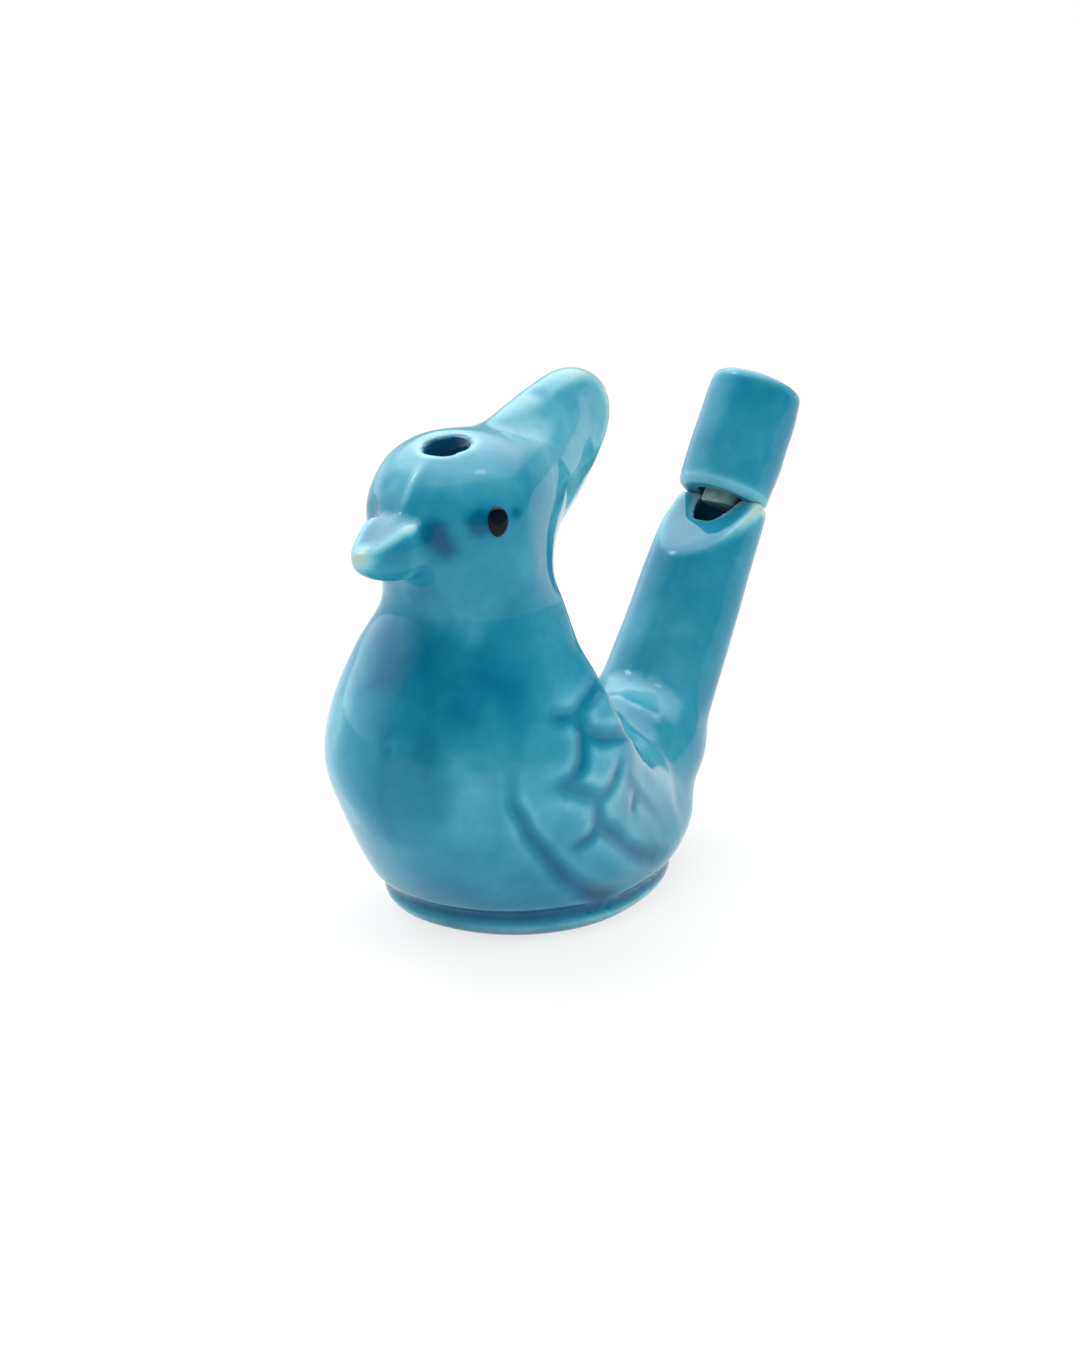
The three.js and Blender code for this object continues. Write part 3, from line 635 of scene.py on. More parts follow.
# cut lines: feathers and border of each wing, and the line above the slab
cutForm = {
    "lip": 0.15, "lipRise": (0.7, 1.2), "lipFall": (1.2, 2.2), "softened": 4,
    "stepsPerPoint": 8, "outside": 60,
    "wing": [  # points back and up in the side view, half width at each end, depth, fade at each end
        ([(-19.0, 24.6), (-19.2, 21.3), (-19.1, 19.6), (-18.0, 17.5), (-16.7, 15.2), (-15.2, 13.4),
          (-13.4, 11.2), (-11.3, 8.9), (-8.9, 7.0), (-5.9, 5.2), (-2.4, 4.0)], 0.9, 2.1, 0.42, (22, 6)),
        ([(-13.8, 28.5), (-11.8, 28.2), (-10.0, 28.3), (-8.4, 29.1), (-6.3, 29.9), (-3.8, 30.6)],
         1.6, 1.5, 0.42, (6, 8)),
        ([(-9.8, 27.9), (-9.6, 26.7), (-8.7, 25.6), (-7.0, 24.8), (-4.4, 24.3), (0.0, 23.6)],
         1.7, 1.4, 0.42, (0, 8)),
        ([(-9.9, 27.2), (-9.9, 25.7), (-10.3, 24.2), (-10.8, 22.9), (-11.8, 21.8), (-13.0, 21.0),
          (-15.4, 20.9)], 1.7, 1.6, 0.44, (0, 8)),
        ([(-13.2, 20.5), (-11.4, 19.6), (-9.9, 18.8), (-8.3, 18.2), (-6.8, 18.5), (-5.6, 19.3), (-4.4, 20.3),
          (-3.9, 21.8)], 1.7, 1.4, 0.42, (0, 10)),
        ([(-8.6, 17.9), (-8.2, 16.1), (-8.2, 14.4), (-8.9, 13.3), (-10.3, 12.9), (-11.7, 12.8)],
         1.7, 1.3, 0.40, (0, 10)),
        ([(-8.1, 15.8), (-7.3, 14.4), (-5.3, 13.0), (-3.6, 11.6), (-1.5, 9.9), (1.2, 8.3), (4.7, 6.9),
          (8.3, 6.1)], 1.7, 1.6, 0.44, (0, 10)),
        ([(-2.2, 19.6), (-1.3, 17.7), (1.9, 15.1), (5.0, 12.5), (7.8, 10.3)], 1.1, 1.1, 0.14, (8, 14))],
    "foot": {"back": 3.0, "front": 3.4, "rise": (-0.1, 1.0), "width": 1.3, "depth": 0.5, "middle": 3,
             "steps": 181, "wave": 0.15, "swell": 0.5, "swellAt": 5.95, "swellHalf": 0.3}}


def cutLines(form, base):
    surface = surfaceOf(base.data)
    points, edges, widths, depths, strengths = [], [], [], [], []

    def addLine(line, lineWidths, depth, fade):
        for i, (point, width) in enumerate(zip(line, lineWidths)):
            if i:
                edges.append((len(points) - 1, len(points)))
            points.append(point)
            widths.append(width)
            strength = min(1, (i + 1) / (fade[0] + 1), (len(line) - i) / (fade[1] + 1))  # free ends fade out
            depths.append(depth * strength)
            strengths.append(strength)

    for corners, startWidth, endWidth, depth, fade in form["wing"]:
        line = spline(corners, np.linspace(0, 1, form["stepsPerPoint"] * len(corners)))
        lineWidths = np.linspace(startWidth, endWidth, len(line))
        for hand in (1, -1):
            start, heading = hand * form["outside"], Vector((-hand, 0, 0))
            hits = [surface.ray_cast(Vector((start, y, z)), heading)[0] for y, z in line]
            addLine([tuple(hit) for hit in hits if hit], lineWidths, depth, fade)
    foot = form["foot"]
    around = []
    turns = np.linspace(0, 2 * math.pi, foot["steps"])
    for angle in turns:
        heading = Vector((math.sin(angle), -math.cos(angle), 0))
        height = foot["back"] + (foot["front"] - foot["back"]) * smoothstep(*foot["rise"], math.cos(angle))
        start = heading * form["outside"] + Vector((0, foot["middle"], height))
        around.append(tuple(surface.ray_cast(start, -heading)[0]))
    swell = foot["swell"] * np.exp(-((turns - foot["swellAt"]) / foot["swellHalf"]) ** 2)
    lineWidths = foot["width"] * (1 + foot["wave"] * np.cos(2 * turns) + swell)
    addLine(around, lineWidths, foot["depth"], (0, 0))
    item = newItem("cutLines", points, [], edges)
    putValues(item.data, "cutWidth", np.array(widths) * mm)
    putValues(item.data, "cutDepth", np.array(depths) * mm)
    putValues(item.data, "cutStrength", strengths)
    return item


def carvingTree(form, material):  # presses lines into a surface and stores how deep as "cut"
    tree = shapingTree("carving", {"Lines": "NodeSocketObject", "Lip": "NodeSocketFloat"})
    node, maths, mapped = nodeTools(tree)
    start = node("NodeGroupInput").outputs
    lines = node("GeometryNodeObjectInfo", Object=start["Lines"]).outputs["Geometry"]
    near = node("GeometryNodeProximity", {"target_element": "EDGES"}, i0=lines)
    nearest = node("GeometryNodeSampleNearest", {"domain": "POINT"}, Geometry=lines).outputs["Index"]

    def sampled(name):
        read = node("GeometryNodeInputNamedAttribute", {"data_type": "FLOAT"}, Name=name)
        pick = node("GeometryNodeSampleIndex", {"data_type": "FLOAT", "domain": "POINT"}, Geometry=lines,
                    Value=read.outputs["Attribute"], Index=nearest)
        return pick.outputs["Value"]

    away = maths("DIVIDE", near.outputs["Distance"], sampled("cutWidth"))
    cut = mapped(away, 0.0, 1.0, 1.0, 0.0)
    rising = mapped(away, *form["lipRise"], 0.0, 1.0)
    lip = maths("MULTIPLY", rising, mapped(away, *form["lipFall"], 1.0, 0.0))
    depth = sampled("cutDepth")
    rise = maths("MULTIPLY", maths("MULTIPLY", lip, depth), start["Lip"])
    move = maths("SUBTRACT", rise, maths("MULTIPLY", cut, depth))
    normal = node("GeometryNodeInputNormal").outputs[0]
    offset = node("ShaderNodeVectorMath", {"operation": "SCALE"}, i0=normal, Scale=move)
    store = node("GeometryNodeStoreNamedAttribute", {"data_type": "FLOAT", "domain": "POINT"}, Name="cut",
                 Geometry=start["Geometry"], Value=maths("MULTIPLY", cut, sampled("cutStrength")))
    place = node("GeometryNodeSetPosition", Geometry=store.outputs["Geometry"], Offset=offset.outputs[0])
    endTree(node, place.outputs["Geometry"], material)
    return tree


# glaze: pale where it is thin, deep where it pools
glazeColours = [(0.0, (0.42, 0.51, 0.42)), (0.2, (0.19, 0.50, 0.58)), (0.42, (0.026, 0.262, 0.368)),
                (0.68, (0.001, 0.150, 0.250)), (0.88, (0.0, 0.085, 0.17)), (1.0, (0.0, 0.040, 0.085))]
glazeForm = {
    "middle": 0.48, "pooled": 0.30, "thin": 0.40, "inside": 0.8, "broad": 0.20, "broadScale": 130,
    "fine": 0.05, "fineScale": 620, "roughness": (0.03, 0.10), "roughScale": 900, "shine": 0.24,
    "ripple": 0.00003, "rippleScale": 300, "pits": 0.25, "pitScale": 1500, "pitRange": (0.2, 0.32)}


def glaze(name, form, colours):
    material = bpy.data.materials.new(name)
    node, maths, mapped = shaderTools(material)
    place = node("ShaderNodeTexCoord").outputs["Object"]

    def attribute(label):
        return node("ShaderNodeAttribute", {"attribute_name": label}).outputs["Fac"]

    def cloud(scale, detail):
        return node("ShaderNodeTexNoise", Vector=place, Scale=scale, Detail=detail).outputs["Fac"]

    depth = form["middle"]
    for size in ("broad", "fine"):
        drift = maths("SUBTRACT", cloud(form[size + "Scale"], 4.0), 0.5)
        depth = maths("ADD", maths("MULTIPLY", drift, form[size] * 2), depth)
    # the inside term darkens the hole and the bores nearly to black: painted shadow
    for label, share in (("pooled", form["pooled"]), ("thin", -form["thin"]), ("shade", 1.0),
                         ("inside", form["inside"])):
        depth = maths("ADD", depth, maths("MULTIPLY", attribute(label), share))
    ramp = node("ShaderNodeValToRGB", Fac=depth)
    ramp.color_ramp.interpolation = "B_SPLINE"
    stops = ramp.color_ramp.elements
    while len(stops) < len(colours):
        stops.new(0.5)
    for stop, (share, colour) in zip(stops, colours):
        stop.position = share
        stop.color = (*colour, 1)
    rough = mapped(cloud(form["roughScale"], 2.0), 0.0, 1.0, *form["roughness"], "LINEAR")
    pits = mapped(cloud(form["pitScale"], 2.0), *form["pitRange"], 0.0, 1.0, "LINEAR")
    height = maths("ADD", cloud(form["rippleScale"], 2.0), maths("MULTIPLY", pits, form["pits"]))
    bump = node("ShaderNodeBump", Height=height, Distance=form["ripple"], Strength=1.0)
    surface = node("ShaderNodeBsdfPrincipled", Roughness=rough, Normal=bump.outputs[0],
                   **{"Base Color": ramp.outputs["Color"], "Specular IOR Level": form["shine"]})
    node("ShaderNodeOutputMaterial", Surface=surface.outputs[0])
    return material


turquoise = glaze("turquoiseGlaze", glazeForm, glazeColours)
lines = cutLines(cutForm, bird)
shapeBy(bird, carvingTree(cutForm, turquoise), {"Lines": lines, "Lip": cutForm["lip"]})
bpy.data.objects.remove(lines)
putPoints(bird.data, relax(pointsOf(bird.data), edgesOf(bird.data), cutForm["softened"]))
print("wings and foot line cut")

# how deep the glaze lies: it pools in hollows and runs thin on edges, at a fine and a broad scale
depthForm = {"fine": 14, "wide": 90, "finePool": (0.01, 0.16), "widePool": (0.12, 0.8), "widePoolShare": 0.5,
             "fineThin": (0.03, 0.2), "wideThin": (0.25, 1.0), "wideThinShare": 0.4, "most": (1.3, 1.2)}


def glazeDepth(mesh, form):
    points, edges, normals = pointsOf(mesh), edgesOf(mesh), normalsOf(mesh)
    fine, wide = [np.sum((relax(points, edges, passes) - points) * normals, axis=1)
                  for passes in (form["fine"], form["wide"])]
    pooled = smoothstep(*form["finePool"], fine)
    pooled += form["widePoolShare"] * smoothstep(*form["widePool"], wide)
    thin = smoothstep(*form["fineThin"], -fine)
    thin += form["wideThinShare"] * smoothstep(*form["wideThin"], -wide)
    return np.clip(pooled, 0, form["most"][0]), np.clip(thin, 0, form["most"][1])


# broad shade of the glaze: how much deeper or paler, and where; one entry is painted light
shadeForm = {
    "crest": (-0.10, {"y": (-8, 5), "z": (45, 50)}),
    "crown": (-0.04, {"y": (4, -2), "z": (52, 56)}),
    "face": (0.06, {"y": (-3, -9), "z": (38, 43, 52, 55)}),
    "tail": (0.06, {"y": (24, 30)}),
    "belly": (0.07, {"z": (4, 6, 8, 17)}),
    # painted light: the glaze colour is made paler low on the right (-x) side, standing in for light bounced
    # up from the floor
    "right": (-0.14, {"x": (1, -11), "z": (4, 7, 30, 36)}),
    "wing": (-0.02, {"side": (8, 10), "y": (-21, -18, 14, 17), "z": (5, 8, 30, 32)})}
shoulderForm = {  # a deep band round the shoulders, with a streaky edge
    "depth": 0.25, "low": (22, 34), "high": (42.5, 37), "streak": 4.5, "streakSize": 5.0, "streakSeed": 4.0,
    "stretch": 0.4, "rightLift": 3, "rightRise": (3, -8), "rightFade": 0.6, "rightFrom": (-2, -13),
    "backFade": 0.9, "backFrom": (-19, -10)}


def shoulderShade(points, form):
    x, y, z = points.T
    streaks = cloudOf(points * [1, 1, form["stretch"]], form["streakSize"], form["streakSeed"])
    level = z + form["streak"] * streaks
    lift = form["rightLift"] * smoothstep(*form["rightRise"], x)
    band = smoothstep(form["low"][0] + lift, form["low"][1] + lift, level) * smoothstep(*form["high"], level)
    band *= 1 - form["rightFade"] * smoothstep(*form["rightFrom"], x)
    band *= 1 - form["backFade"] * smoothstep(*form["backFrom"], y)
    return form["depth"] * band


def glazeShade(points):
    shade = shoulderShade(points, shoulderForm)
    for depth, where in shadeForm.values():
        shade += depth * within(points, where)
    return shade


# glaze round the cuts, the foot's rim and the eyes; the rim's darkening is partly pooled glaze, partly
# painted contact shadow
detailForm = {
    "bleed": 4, "bleedGain": 1.1, "cutKeep": 0.9, "beside": 36, "besideThin": 1.1,
    "cutPool": 0.75, "footCutPool": 0.65, "cutCurve": 0.8, "cutUnthin": 0.7,
    "wingUnpool": 0.7, "rootUnpool": 0.91, "wingUnthin": 0.85, "beakUnthin": 0.5,
    "root": {"y": (-8, -4, 9, 13), "z": (44, 47)}, "beak": {"y": (-22.5, -24.5)}, "foot": {"z": (6.5, 4.5)},
    "rim": {"z": (2.6, 1.4)}, "rimThin": 0.3, "rimPoolAndShadow": 0.22, "mostInCuts": 1.4, "mostPooled": 1.08,
    "pools": [  # place on either side, reach, strength
        ((7.8, -17.4, 50.6), 1.3, 2.2), ((10.1, -13.6, 51.3), 0.7, 1.2), ((4.0, -20.8, 49.4), 1.5, 1.8),
        ((5.0, -19.8, 47.6), 1.2, 1.0), ((16.7, -0.1, 14.8), 0.75, 2.0)]}
beakGlaze = {"shade": 0.15, "shadeFade": (-21.5, -24), "ridgeThin": 1.25, "ridgeReach": (1.1, 0.1),
             "cheek": -0.04, "under": (0.5, 1.3), "aside": (0.4, 1.2),
             "tipThin": 1.7, "tipReach": (3.2, 0.2)}


def glazeOnBeak(points, thin, form, atBeak):  # writes pale ridges and tip into thin, returns the shade
    front = np.flatnonzero(points[:, 1] < beakForm["rear"])
    x, y, z = points[front].T
    shade = form["shade"] * atBeak
    pale = thin[front]
    for ridge in beakRidges(beakForm):
        away = awayFrom(points[front, None], ridge).min(axis=1)
        pale = np.maximum(pale, form["ridgeThin"] * smoothstep(*form["ridgeReach"], away))
        under = np.interp(-y, -ridge[:, 1], ridge[:, 2]) - z
        aside = x * np.sign(ridge[0, 0])
        shade[front] += form["cheek"] * smoothstep(*form["under"], under) * smoothstep(*form["aside"], aside)
    tip = ridge[-1] * [0, 1, 1]
    pale = np.maximum(pale, form["tipThin"] * smoothstep(*form["tipReach"], awayFrom(points[front], tip)))
    thin[front] = pale
    return shade * smoothstep(*form["shadeFade"], points[:, 1])


# inside the filling hole and the bore the colour is darkened nearly to black as painted shadow, and the
# glaze is pale on the hole's rim
insideForm = {"holeEdge": (0.35, -0.1), "holeFoot": 50, "boreEdge": (0.25, -0.05), "boreSpan": (10, 31),
              "rimInner": (0.1, 0.5), "rimOuter": (1.5, 0.7), "rimFoot": 54, "rimThin": 0.55}


def insides(points, form):
    beyond = holeAway(points) - holeForm["radius"]
    inHole = smoothstep(*form["holeEdge"], beyond) * (points[:, 2] > form["holeFoot"])
    x, y, z = inTail(points).T
    first, last = form["boreSpan"]
    inBore = smoothstep(*form["boreEdge"], np.hypot(x, y) - tailForm["bore"]) * (z > first) * (z < last)
    onRim = smoothstep(*form["rimInner"], beyond) * smoothstep(*form["rimOuter"], beyond)
    return np.maximum(inHole, inBore), form["rimThin"] * onRim * (points[:, 2] > form["rimFoot"])


def glazeBird(mesh, form):
    skin, edges = pointsOf(mesh), edgesOf(mesh)
    pooled, thin = glazeDepth(mesh, depthForm)
    cut = np.empty(len(skin), np.float32)
    mesh.attributes["cut"].data.foreach_get("value", cut)
    bled = form["bleedGain"] * relax(cut[:, None], edges, form["bleed"])[:, 0]
    cut = np.maximum(cut * form["cutKeep"], bled)  # the colour bleeds out of the cuts
    onWing = within(skin, shadeForm["wing"][1])
    onRoot, atBeak, atFoot, onRim = [within(skin, form[place]) for place in ("root", "beak", "foot", "rim")]
    beside = np.clip(relax(cut[:, None], edges, form["beside"])[:, 0] - cut, 0, 1)
    onRim *= 1 - cut
    pooled *= 1 - np.maximum(form["wingUnpool"] * onWing, form["rootUnpool"] * onRoot)
    pooled += (form["cutPool"] + form["footCutPool"] * atFoot) * cut ** form["cutCurve"]
    pooled = np.clip(pooled, 0, form["mostInCuts"]) * (1 - onRim)
    for place, reach, strength in form["pools"]:
        pooled += strength * softSpot(onLeftSide(skin), place, reach)
    pooled = np.clip(pooled, 0, form["mostPooled"])
    thin *= (1 - form["wingUnthin"] * onWing) * (1 - form["beakUnthin"] * atBeak)
    thin += form["rimThin"] * onRim + form["besideThin"] * beside * onWing  # thin beside the cuts
    beakShade = glazeOnBeak(skin, thin, beakGlaze, atBeak)
    inside, holeRim = insides(skin, insideForm)
    thin = np.maximum(thin, holeRim) * (1 - form["cutUnthin"] * cut)
    putValues(mesh, "pooled", pooled * (1 - inside))
    putValues(mesh, "thin", thin * (1 - inside))
    putValues(mesh, "inside", inside)
    # the rim term darkens the slab's lower edge: partly pooled glaze, partly painted contact shadow
    putValues(mesh, "shade", glazeShade(skin) + beakShade + form["rimPoolAndShadow"] * onRim)
    smoothFaces(mesh)


glazeBird(bird.data, detailForm)
bird.name = "glazedBird"
print("glazed bird:", len(bird.data.polygons), "faces")

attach(bird, "root")
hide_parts("base_slab", "base_joint_slip", "left_body_half", "right_body_half", "breast_seam_slip",
            "nape_seam_slip", "rump_seam_slip", "tail_joint_slip", "tail_tube")

# mouthpiece: a turned sleeve on top of the tail tube
sleeveSizes = {"Radius": 5.8, "Bore": 2.6, "Length": 15.6, "Edge": 0.9, "Swell": 0.25}
mouthpieceForm = {"foot": 27.8, "wobble": 0.14, "wobbleSize": 8.0, "wobbleSeed": 7.0,
                  "thin": 0.5, "shade": 0.10, "boreEdge": (0.7, 0.1)}


def sleeveTree(material):  # a rounded wall section swept round the bore
    tree = shapingTree("sleeve", dict.fromkeys(sleeveSizes, "NodeSocketFloat"))
    node, maths, _ = nodeTools(tree)
    size = node("NodeGroupInput").outputs
    wall = node("GeometryNodeCurvePrimitiveQuadrilateral", Height=size["Length"],
                Width=maths("SUBTRACT", size["Radius"], size["Bore"]))
    rounded = node("GeometryNodeFilletCurve", {"mode": "POLY"}, i0=wall.outputs[0], Count=8,
                   Radius=size["Edge"])
    even = node("GeometryNodeResampleCurve", i0=rounded.outputs[0], Count=100)
    middle = maths("MULTIPLY", maths("ADD", size["Radius"], size["Bore"]), 0.5)
    path = node("GeometryNodeCurvePrimitiveCircle", Resolution=96, Radius=middle)
    sweep = node("GeometryNodeCurveToMesh", i0=path.outputs[0], i1=even.outputs[0])
    place = node("GeometryNodeInputPosition").outputs[0]
    parts = node("ShaderNodeSeparateXYZ", i0=place).outputs
    along = maths("DIVIDE", maths("MULTIPLY", parts["Z"], 2.0), size["Length"])
    bulge = maths("SUBTRACT", 1.0, maths("MULTIPLY", along, along))
    grow = maths("ADD", 1.0, maths("MULTIPLY", bulge, maths("DIVIDE", size["Swell"], size["Radius"])))
    whole = node("ShaderNodeCombineXYZ", X=maths("MULTIPLY", parts["X"], grow),
                 Y=maths("MULTIPLY", parts["Y"], grow), Z=parts["Z"])
    moved = node("GeometryNodeSetPosition", Geometry=sweep.outputs[0], Position=whole.outputs[0])
    endTree(node, moved.outputs["Geometry"], material)
    return tree


def glazeMouthpiece(mesh, form):
    points = fromTail(pointsOf(mesh) + [0, 0, form["foot"] + sleeveSizes["Length"] / 2])
    putPoints(mesh, points)
    facingOut(mesh)
    wobble = form["wobble"] * cloudOf(points, form["wobbleSize"], form["wobbleSeed"])
    points = points + normalsOf(mesh) * wobble[:, None]
    putPoints(mesh, points)
    pooled, thin = glazeDepth(mesh, depthForm)
    x, y, z = inTail(points).T
    # the mouthpiece's bore is darkened as painted shadow
    inside = smoothstep(*form["boreEdge"], np.hypot(x, y) - sleeveSizes["Bore"])
    putValues(mesh, "pooled", pooled * (1 - inside))
    putValues(mesh, "thin", form["thin"] * thin * (1 - inside))
    putValues(mesh, "inside", inside)
    putValues(mesh, "shade", np.full(len(points), form["shade"]))
    smoothFaces(mesh)


mouthpiece = newItem("mouthpiece", [(0, 0, 0)], [])
shapeBy(mouthpiece, sleeveTree(turquoise), {name: size * mm for name, size in sleeveSizes.items()})
glazeMouthpiece(mouthpiece.data, mouthpieceForm)
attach(mouthpiece, "root")
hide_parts("mouthpiece", "mouthpiece_joint_slip")
print("mouthpiece turned")

# block: a plug with a flat in front, in the mouthpiece's bore
blockForm = {"foot": 26.7, "top": 43.3, "radius": 2.3, "flat": 1.4,
             "bevel": 0.3, "bevelSteps": 4, "sharp": 40}
# the clay's mottle, its colours darkened to grey-green as painted shade for the block's place in the
# window's shadow
shadedClayLook = {"scale": 900.0, "detail": 6.0, "stops": (0.3, 0.72), "roughness": (0.3, 0.6), "shine": 0.5,
            "colours": ((0.10, 0.22, 0.22, 1), (0.26, 0.38, 0.35, 1)),
            "bump": 0.00005, "bumpStrength": 0.8}


def fippleBlock(form):
    lean = math.acos(form["flat"] / form["radius"])
    arc = np.linspace(-math.pi / 2 + lean, 1.5 * math.pi - lean, 49)
    outline = np.column_stack([np.cos(arc), np.sin(arc)]) * form["radius"]
    count = len(outline)
    points = np.concatenate([atHeight(outline, form["foot"]), atHeight(outline, form["top"])])
    faces = [tuple(range(count))[::-1], tuple(range(count, 2 * count))]
    faces += [(i, (i + 1) % count, (i + 1) % count + count, i + count) for i in range(count)]
    item = newItem("fippleBlock", fromTail(points), faces)
    edge = item.modifiers.new("edge", "BEVEL")
    edge.width = form["bevel"] * mm
    edge.segments = form["bevelSteps"]
    edge.limit_method = "ANGLE"
    edge.angle_limit = math.radians(form["sharp"])
    settle(item)
    facingOut(item.data)
    return item


def mottledFinish(name, look):
    material = bpy.data.materials.new(name)
    node, _, mapped = shaderTools(material)
    place = node("ShaderNodeTexCoord").outputs["Object"]
    cloud = node("ShaderNodeTexNoise", Vector=place, Scale=look["scale"], Detail=look["detail"])
    grain = cloud.outputs["Fac"]
    ramp = node("ShaderNodeValToRGB", Fac=grain)
    for stop, share, colour in zip(ramp.color_ramp.elements, look["stops"], look["colours"]):
        stop.position = share
        stop.color = colour
    rough = mapped(grain, 0.0, 1.0, *look["roughness"], "LINEAR")
    bump = node("ShaderNodeBump", Height=grain, Distance=look["bump"], Strength=look["bumpStrength"])
    surface = node("ShaderNodeBsdfPrincipled", Roughness=rough, Normal=bump.outputs[0],
                   **{"Base Color": ramp.outputs["Color"], "Specular IOR Level": look["shine"]})
    node("ShaderNodeOutputMaterial", Surface=surface.outputs[0])
    return material


block = fippleBlock(blockForm)
block.data.materials.append(mottledFinish("shadedBlockClay", shadedClayLook))
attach(block, "root")
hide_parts("fipple_block")
print("block in the mouthpiece")

# eyes: oval drops of dark enamel
eyeForm = {"turn": (57.4, 74), "height": (50.6, 51.0),  # left, right
           "half": 1.2, "tall": 1.65, "proud": 0.5, "sunk": 0.9, "rings": 14, "around": 48,
           "top": 0.97, "fullness": 0.8, "uneven": 0.03, "outside": 30}
enamelLook = {"scale": 900.0, "detail": 3.0, "stops": (0.35, 0.75), "roughness": (0.04, 0.14), "shine": 0.16,
              "colours": ((0.001, 0.004, 0.009, 1), (0.005, 0.006, 0.010, 1)),
              "bump": 0.00003, "bumpStrength": 0.5}


def eye(form, side, base):
    turn = math.radians(form["turn"][side < 0])
    heading = Vector((side * math.sin(turn), -math.cos(turn), 0))
    middle = Vector((0, brow["middle"], form["height"][side < 0]))
    spot, outward = surfaceOf(base.data).ray_cast(middle + heading * form["outside"], -heading)[:2]
    across = Vector((0, 0, 1)).cross(outward).normalized()
    upwards = outward.cross(across)
    angles = roundAngles(form["around"])
    rings = []
    for share in np.linspace(0, 1, form["rings"]):
        lift = form["proud"] * math.sin(share * math.pi / 2) - form["sunk"] * (share < 0.01)
        reach = math.cos(share * math.pi / 2 * form["top"]) ** form["fullness"]
        edges = reach * (1 + form["uneven"] * np.sin(3 * angles + side))
        rings.append([tuple(spot + across * (form["half"] * edge * math.cos(angle))
                            + upwards * (form["tall"] * edge * math.sin(angle)) + outward * lift)
                      for angle, edge in zip(angles, edges)])
    return loft("leftEye" if side > 0 else "rightEye", rings)


enamel = mottledFinish("eyeEnamel", enamelLook)
for side, node in ((1, "left_eye"), (-1, "right_eye")):
    drop = eye(eyeForm, side, bird)
    smoothFaces(drop.data)
    drop.data.materials.append(enamel)
    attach(drop, "root")
    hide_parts(node)
print("eyes set")

# floor: pale paper, plain white away from the object
floorForm = {"half": 5000, "height": -0.1, "colour": (0.85, 0.85, 0.85, 1),
             "fade": (0.07, 0.30), "near": 0.75}  # the fade in metres


def paperFinish(name, form):
    material = bpy.data.materials.new(name)
    node, maths, mapped = shaderTools(material)
    plain = node("ShaderNodeBsdfDiffuse", Color=form["colour"])
    white = node("ShaderNodeEmission", Color=(1, 1, 1, 1), Strength=1.0)
    seen = node("ShaderNodeLightPath").outputs
    shown = maths("MAXIMUM", seen["Is Camera Ray"], seen["Is Glossy Ray"])
    shown = maths("MAXIMUM", shown, seen["Is Transmission Ray"])
    place = node("ShaderNodeTexCoord").outputs["Object"]
    away = node("ShaderNodeVectorMath", {"operation": "LENGTH"}, i0=place).outputs["Value"]
    share = maths("MULTIPLY", shown, mapped(away, *form["fade"], form["near"], 1.0))
    both = node("ShaderNodeMixShader", i0=share, i1=plain.outputs[0], i2=white.outputs[0])
    node("ShaderNodeOutputMaterial", Surface=both.outputs[0])
    return material


half, low = floorForm["half"], floorForm["height"]
floorCorners = [(-half, -half, low), (half, -half, low), (half, half, low), (-half, half, low)]
floor = newItem("floor", floorCorners, [(0, 1, 2, 3)])
floor.data.materials.append(paperFinish("paper", floorForm))

# the glaze mirrors a broad light overhead, a dimmer one on the left and two small ones, all with soft edges
studioForm = {
    "plain": 0.08, "dark": 0.032, "haze": 0.56, "hazeRise": (-0.1, 0.55), "hazeAcross": (-0.3, 0.6),
    "hazeRight": 0.3,
    "glows": [((-0.2, 0.35, 1), 43, 56, 2.24), ((-0.2, 0.35, 1), 5, 48, 2.4),  # from, core, edge, strength
              ((-0.9, -0.1, 0.3), 10, 55, 1.76), ((-0.58, -0.27, 0.77), 5, 9, 9.6),
              ((0.28, 0.06, 0.96), 4, 8, 5.6)]}


def studio(form):
    world = bpy.data.worlds.new("studio")
    node, maths, mapped = shaderTools(world)
    look = node("ShaderNodeTexCoord").outputs["Generated"]
    mirrored = form["dark"]
    for direction, core, edge, strength in form["glows"]:
        middle = unit(np.array(direction))
        towards = node("ShaderNodeVectorMath", {"operation": "DOT_PRODUCT"}, i0=look, i1=middle)
        ends = math.cos(math.radians(edge)), math.cos(math.radians(core))
        mirrored = maths("ADD", mapped(towards.outputs["Value"], *ends, 0.0, strength), mirrored)
    parts = node("ShaderNodeSeparateXYZ", Vector=look).outputs
    haze = mapped(parts["Z"], *form["hazeRise"], form["haze"], 0.0)
    across = mapped(parts["X"], *form["hazeAcross"], 1.0, form["hazeRight"])
    mirrored = maths("ADD", maths("MULTIPLY", haze, across), mirrored)
    path = node("ShaderNodeLightPath").outputs
    level = node("ShaderNodeMix", Factor=path["Is Glossy Ray"], A=form["plain"], B=mirrored).outputs[0]
    level = node("ShaderNodeMix", Factor=path["Is Camera Ray"], A=level, B=1.0).outputs[0]
    sky = node("ShaderNodeBackground", Color=(1, 1, 1, 1), Strength=level)
    node("ShaderNodeOutputWorld", Surface=sky.outputs[0])
    return world


scene.world = studio(studioForm)

cameraForm = {"turn": 35, "rise": 17, "away": 380, "aim": (0, 8, 30), "focal": 3211, "sensor": 36,
              "aimPixel": (555.5, 636.1), "frame": (1080, 1350)}  # focal length and frame in pixels


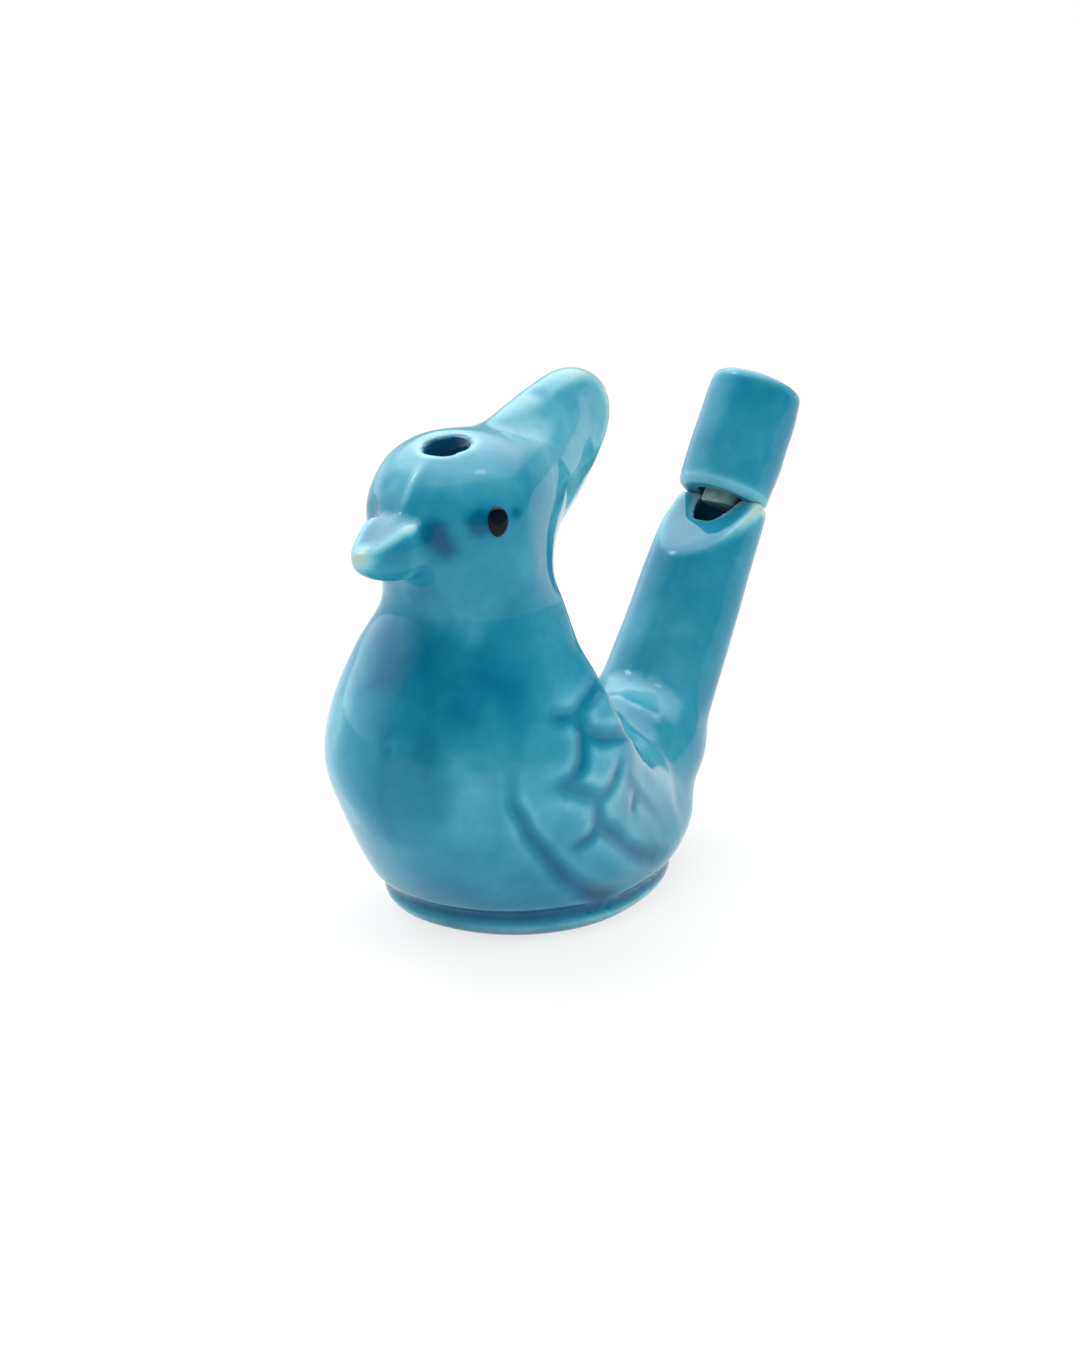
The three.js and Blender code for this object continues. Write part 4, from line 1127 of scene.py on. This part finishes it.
def photoCamera(form):
    turn, rise = math.radians(form["turn"]), math.radians(form["rise"])
    toCamera = Vector((math.sin(turn) * math.cos(rise), -math.cos(turn) * math.cos(rise), math.sin(rise)))
    rightward = Vector((math.cos(turn), math.sin(turn), 0))
    upward = toCamera.cross(rightward)
    wide, tall = form["frame"]
    lens = bpy.data.cameras.new("camera")
    lens.sensor_fit = "VERTICAL"
    lens.sensor_height = form["sensor"]
    lens.lens = form["focal"] / tall * form["sensor"]
    lens.shift_x = (wide / 2 - form["aimPixel"][0]) / tall
    lens.shift_y = (form["aimPixel"][1] - tall / 2) / tall
    lens.clip_start = 0.01
    camera = bpy.data.objects.new("camera", lens)
    scene.collection.objects.link(camera)
    spot = (Vector(form["aim"]) + toCamera * form["away"]) * mm
    turned = Matrix((rightward, upward, toCamera)).transposed().to_4x4()
    camera.matrix_world = Matrix.Translation(spot) @ turned
    return camera


scene.camera = photoCamera(cameraForm)

# soft lamps, in metres: from, away, size, power
lampForm = {
    "windowLamp": ((-0.6, 0.4, 0.85), 0.9, (1.0, 1.0), 8.0),
    "leftPaper": ((-1, 0.0, 0.45), 1.0, (1.4, 0.9), 10.0),
    "frontFill": ((0.2, -1, 0.5), 1.0, (1.0, 0.8), 4.5),
    "rightFill": ((1, 0.3, 0.6), 1.0, (0.9, 0.9), 6.5),
    "topFill": ((0.1, 0.1, 1), 1.0, (1.0, 1.0), 5.0)}
lampAim = Vector((0, 0.005, 0.03))


def softLamp(name, direction, away, size, power):
    lamp = bpy.data.lights.new(name, "AREA")
    lamp.shape = "RECTANGLE"
    lamp.size, lamp.size_y = size
    lamp.energy = power
    item = bpy.data.objects.new(name, lamp)
    scene.collection.objects.link(item)
    heading = Vector(direction).normalized()
    item.location = lampAim + heading * away
    item.rotation_euler = heading.to_track_quat("Z", "Y").to_euler()
    item.visible_glossy = False  # the studio round it is mirrored instead


for name, lamp in lampForm.items():
    softLamp(name, *lamp)
scene.view_settings.view_transform = "Standard"
print("studio and camera set")
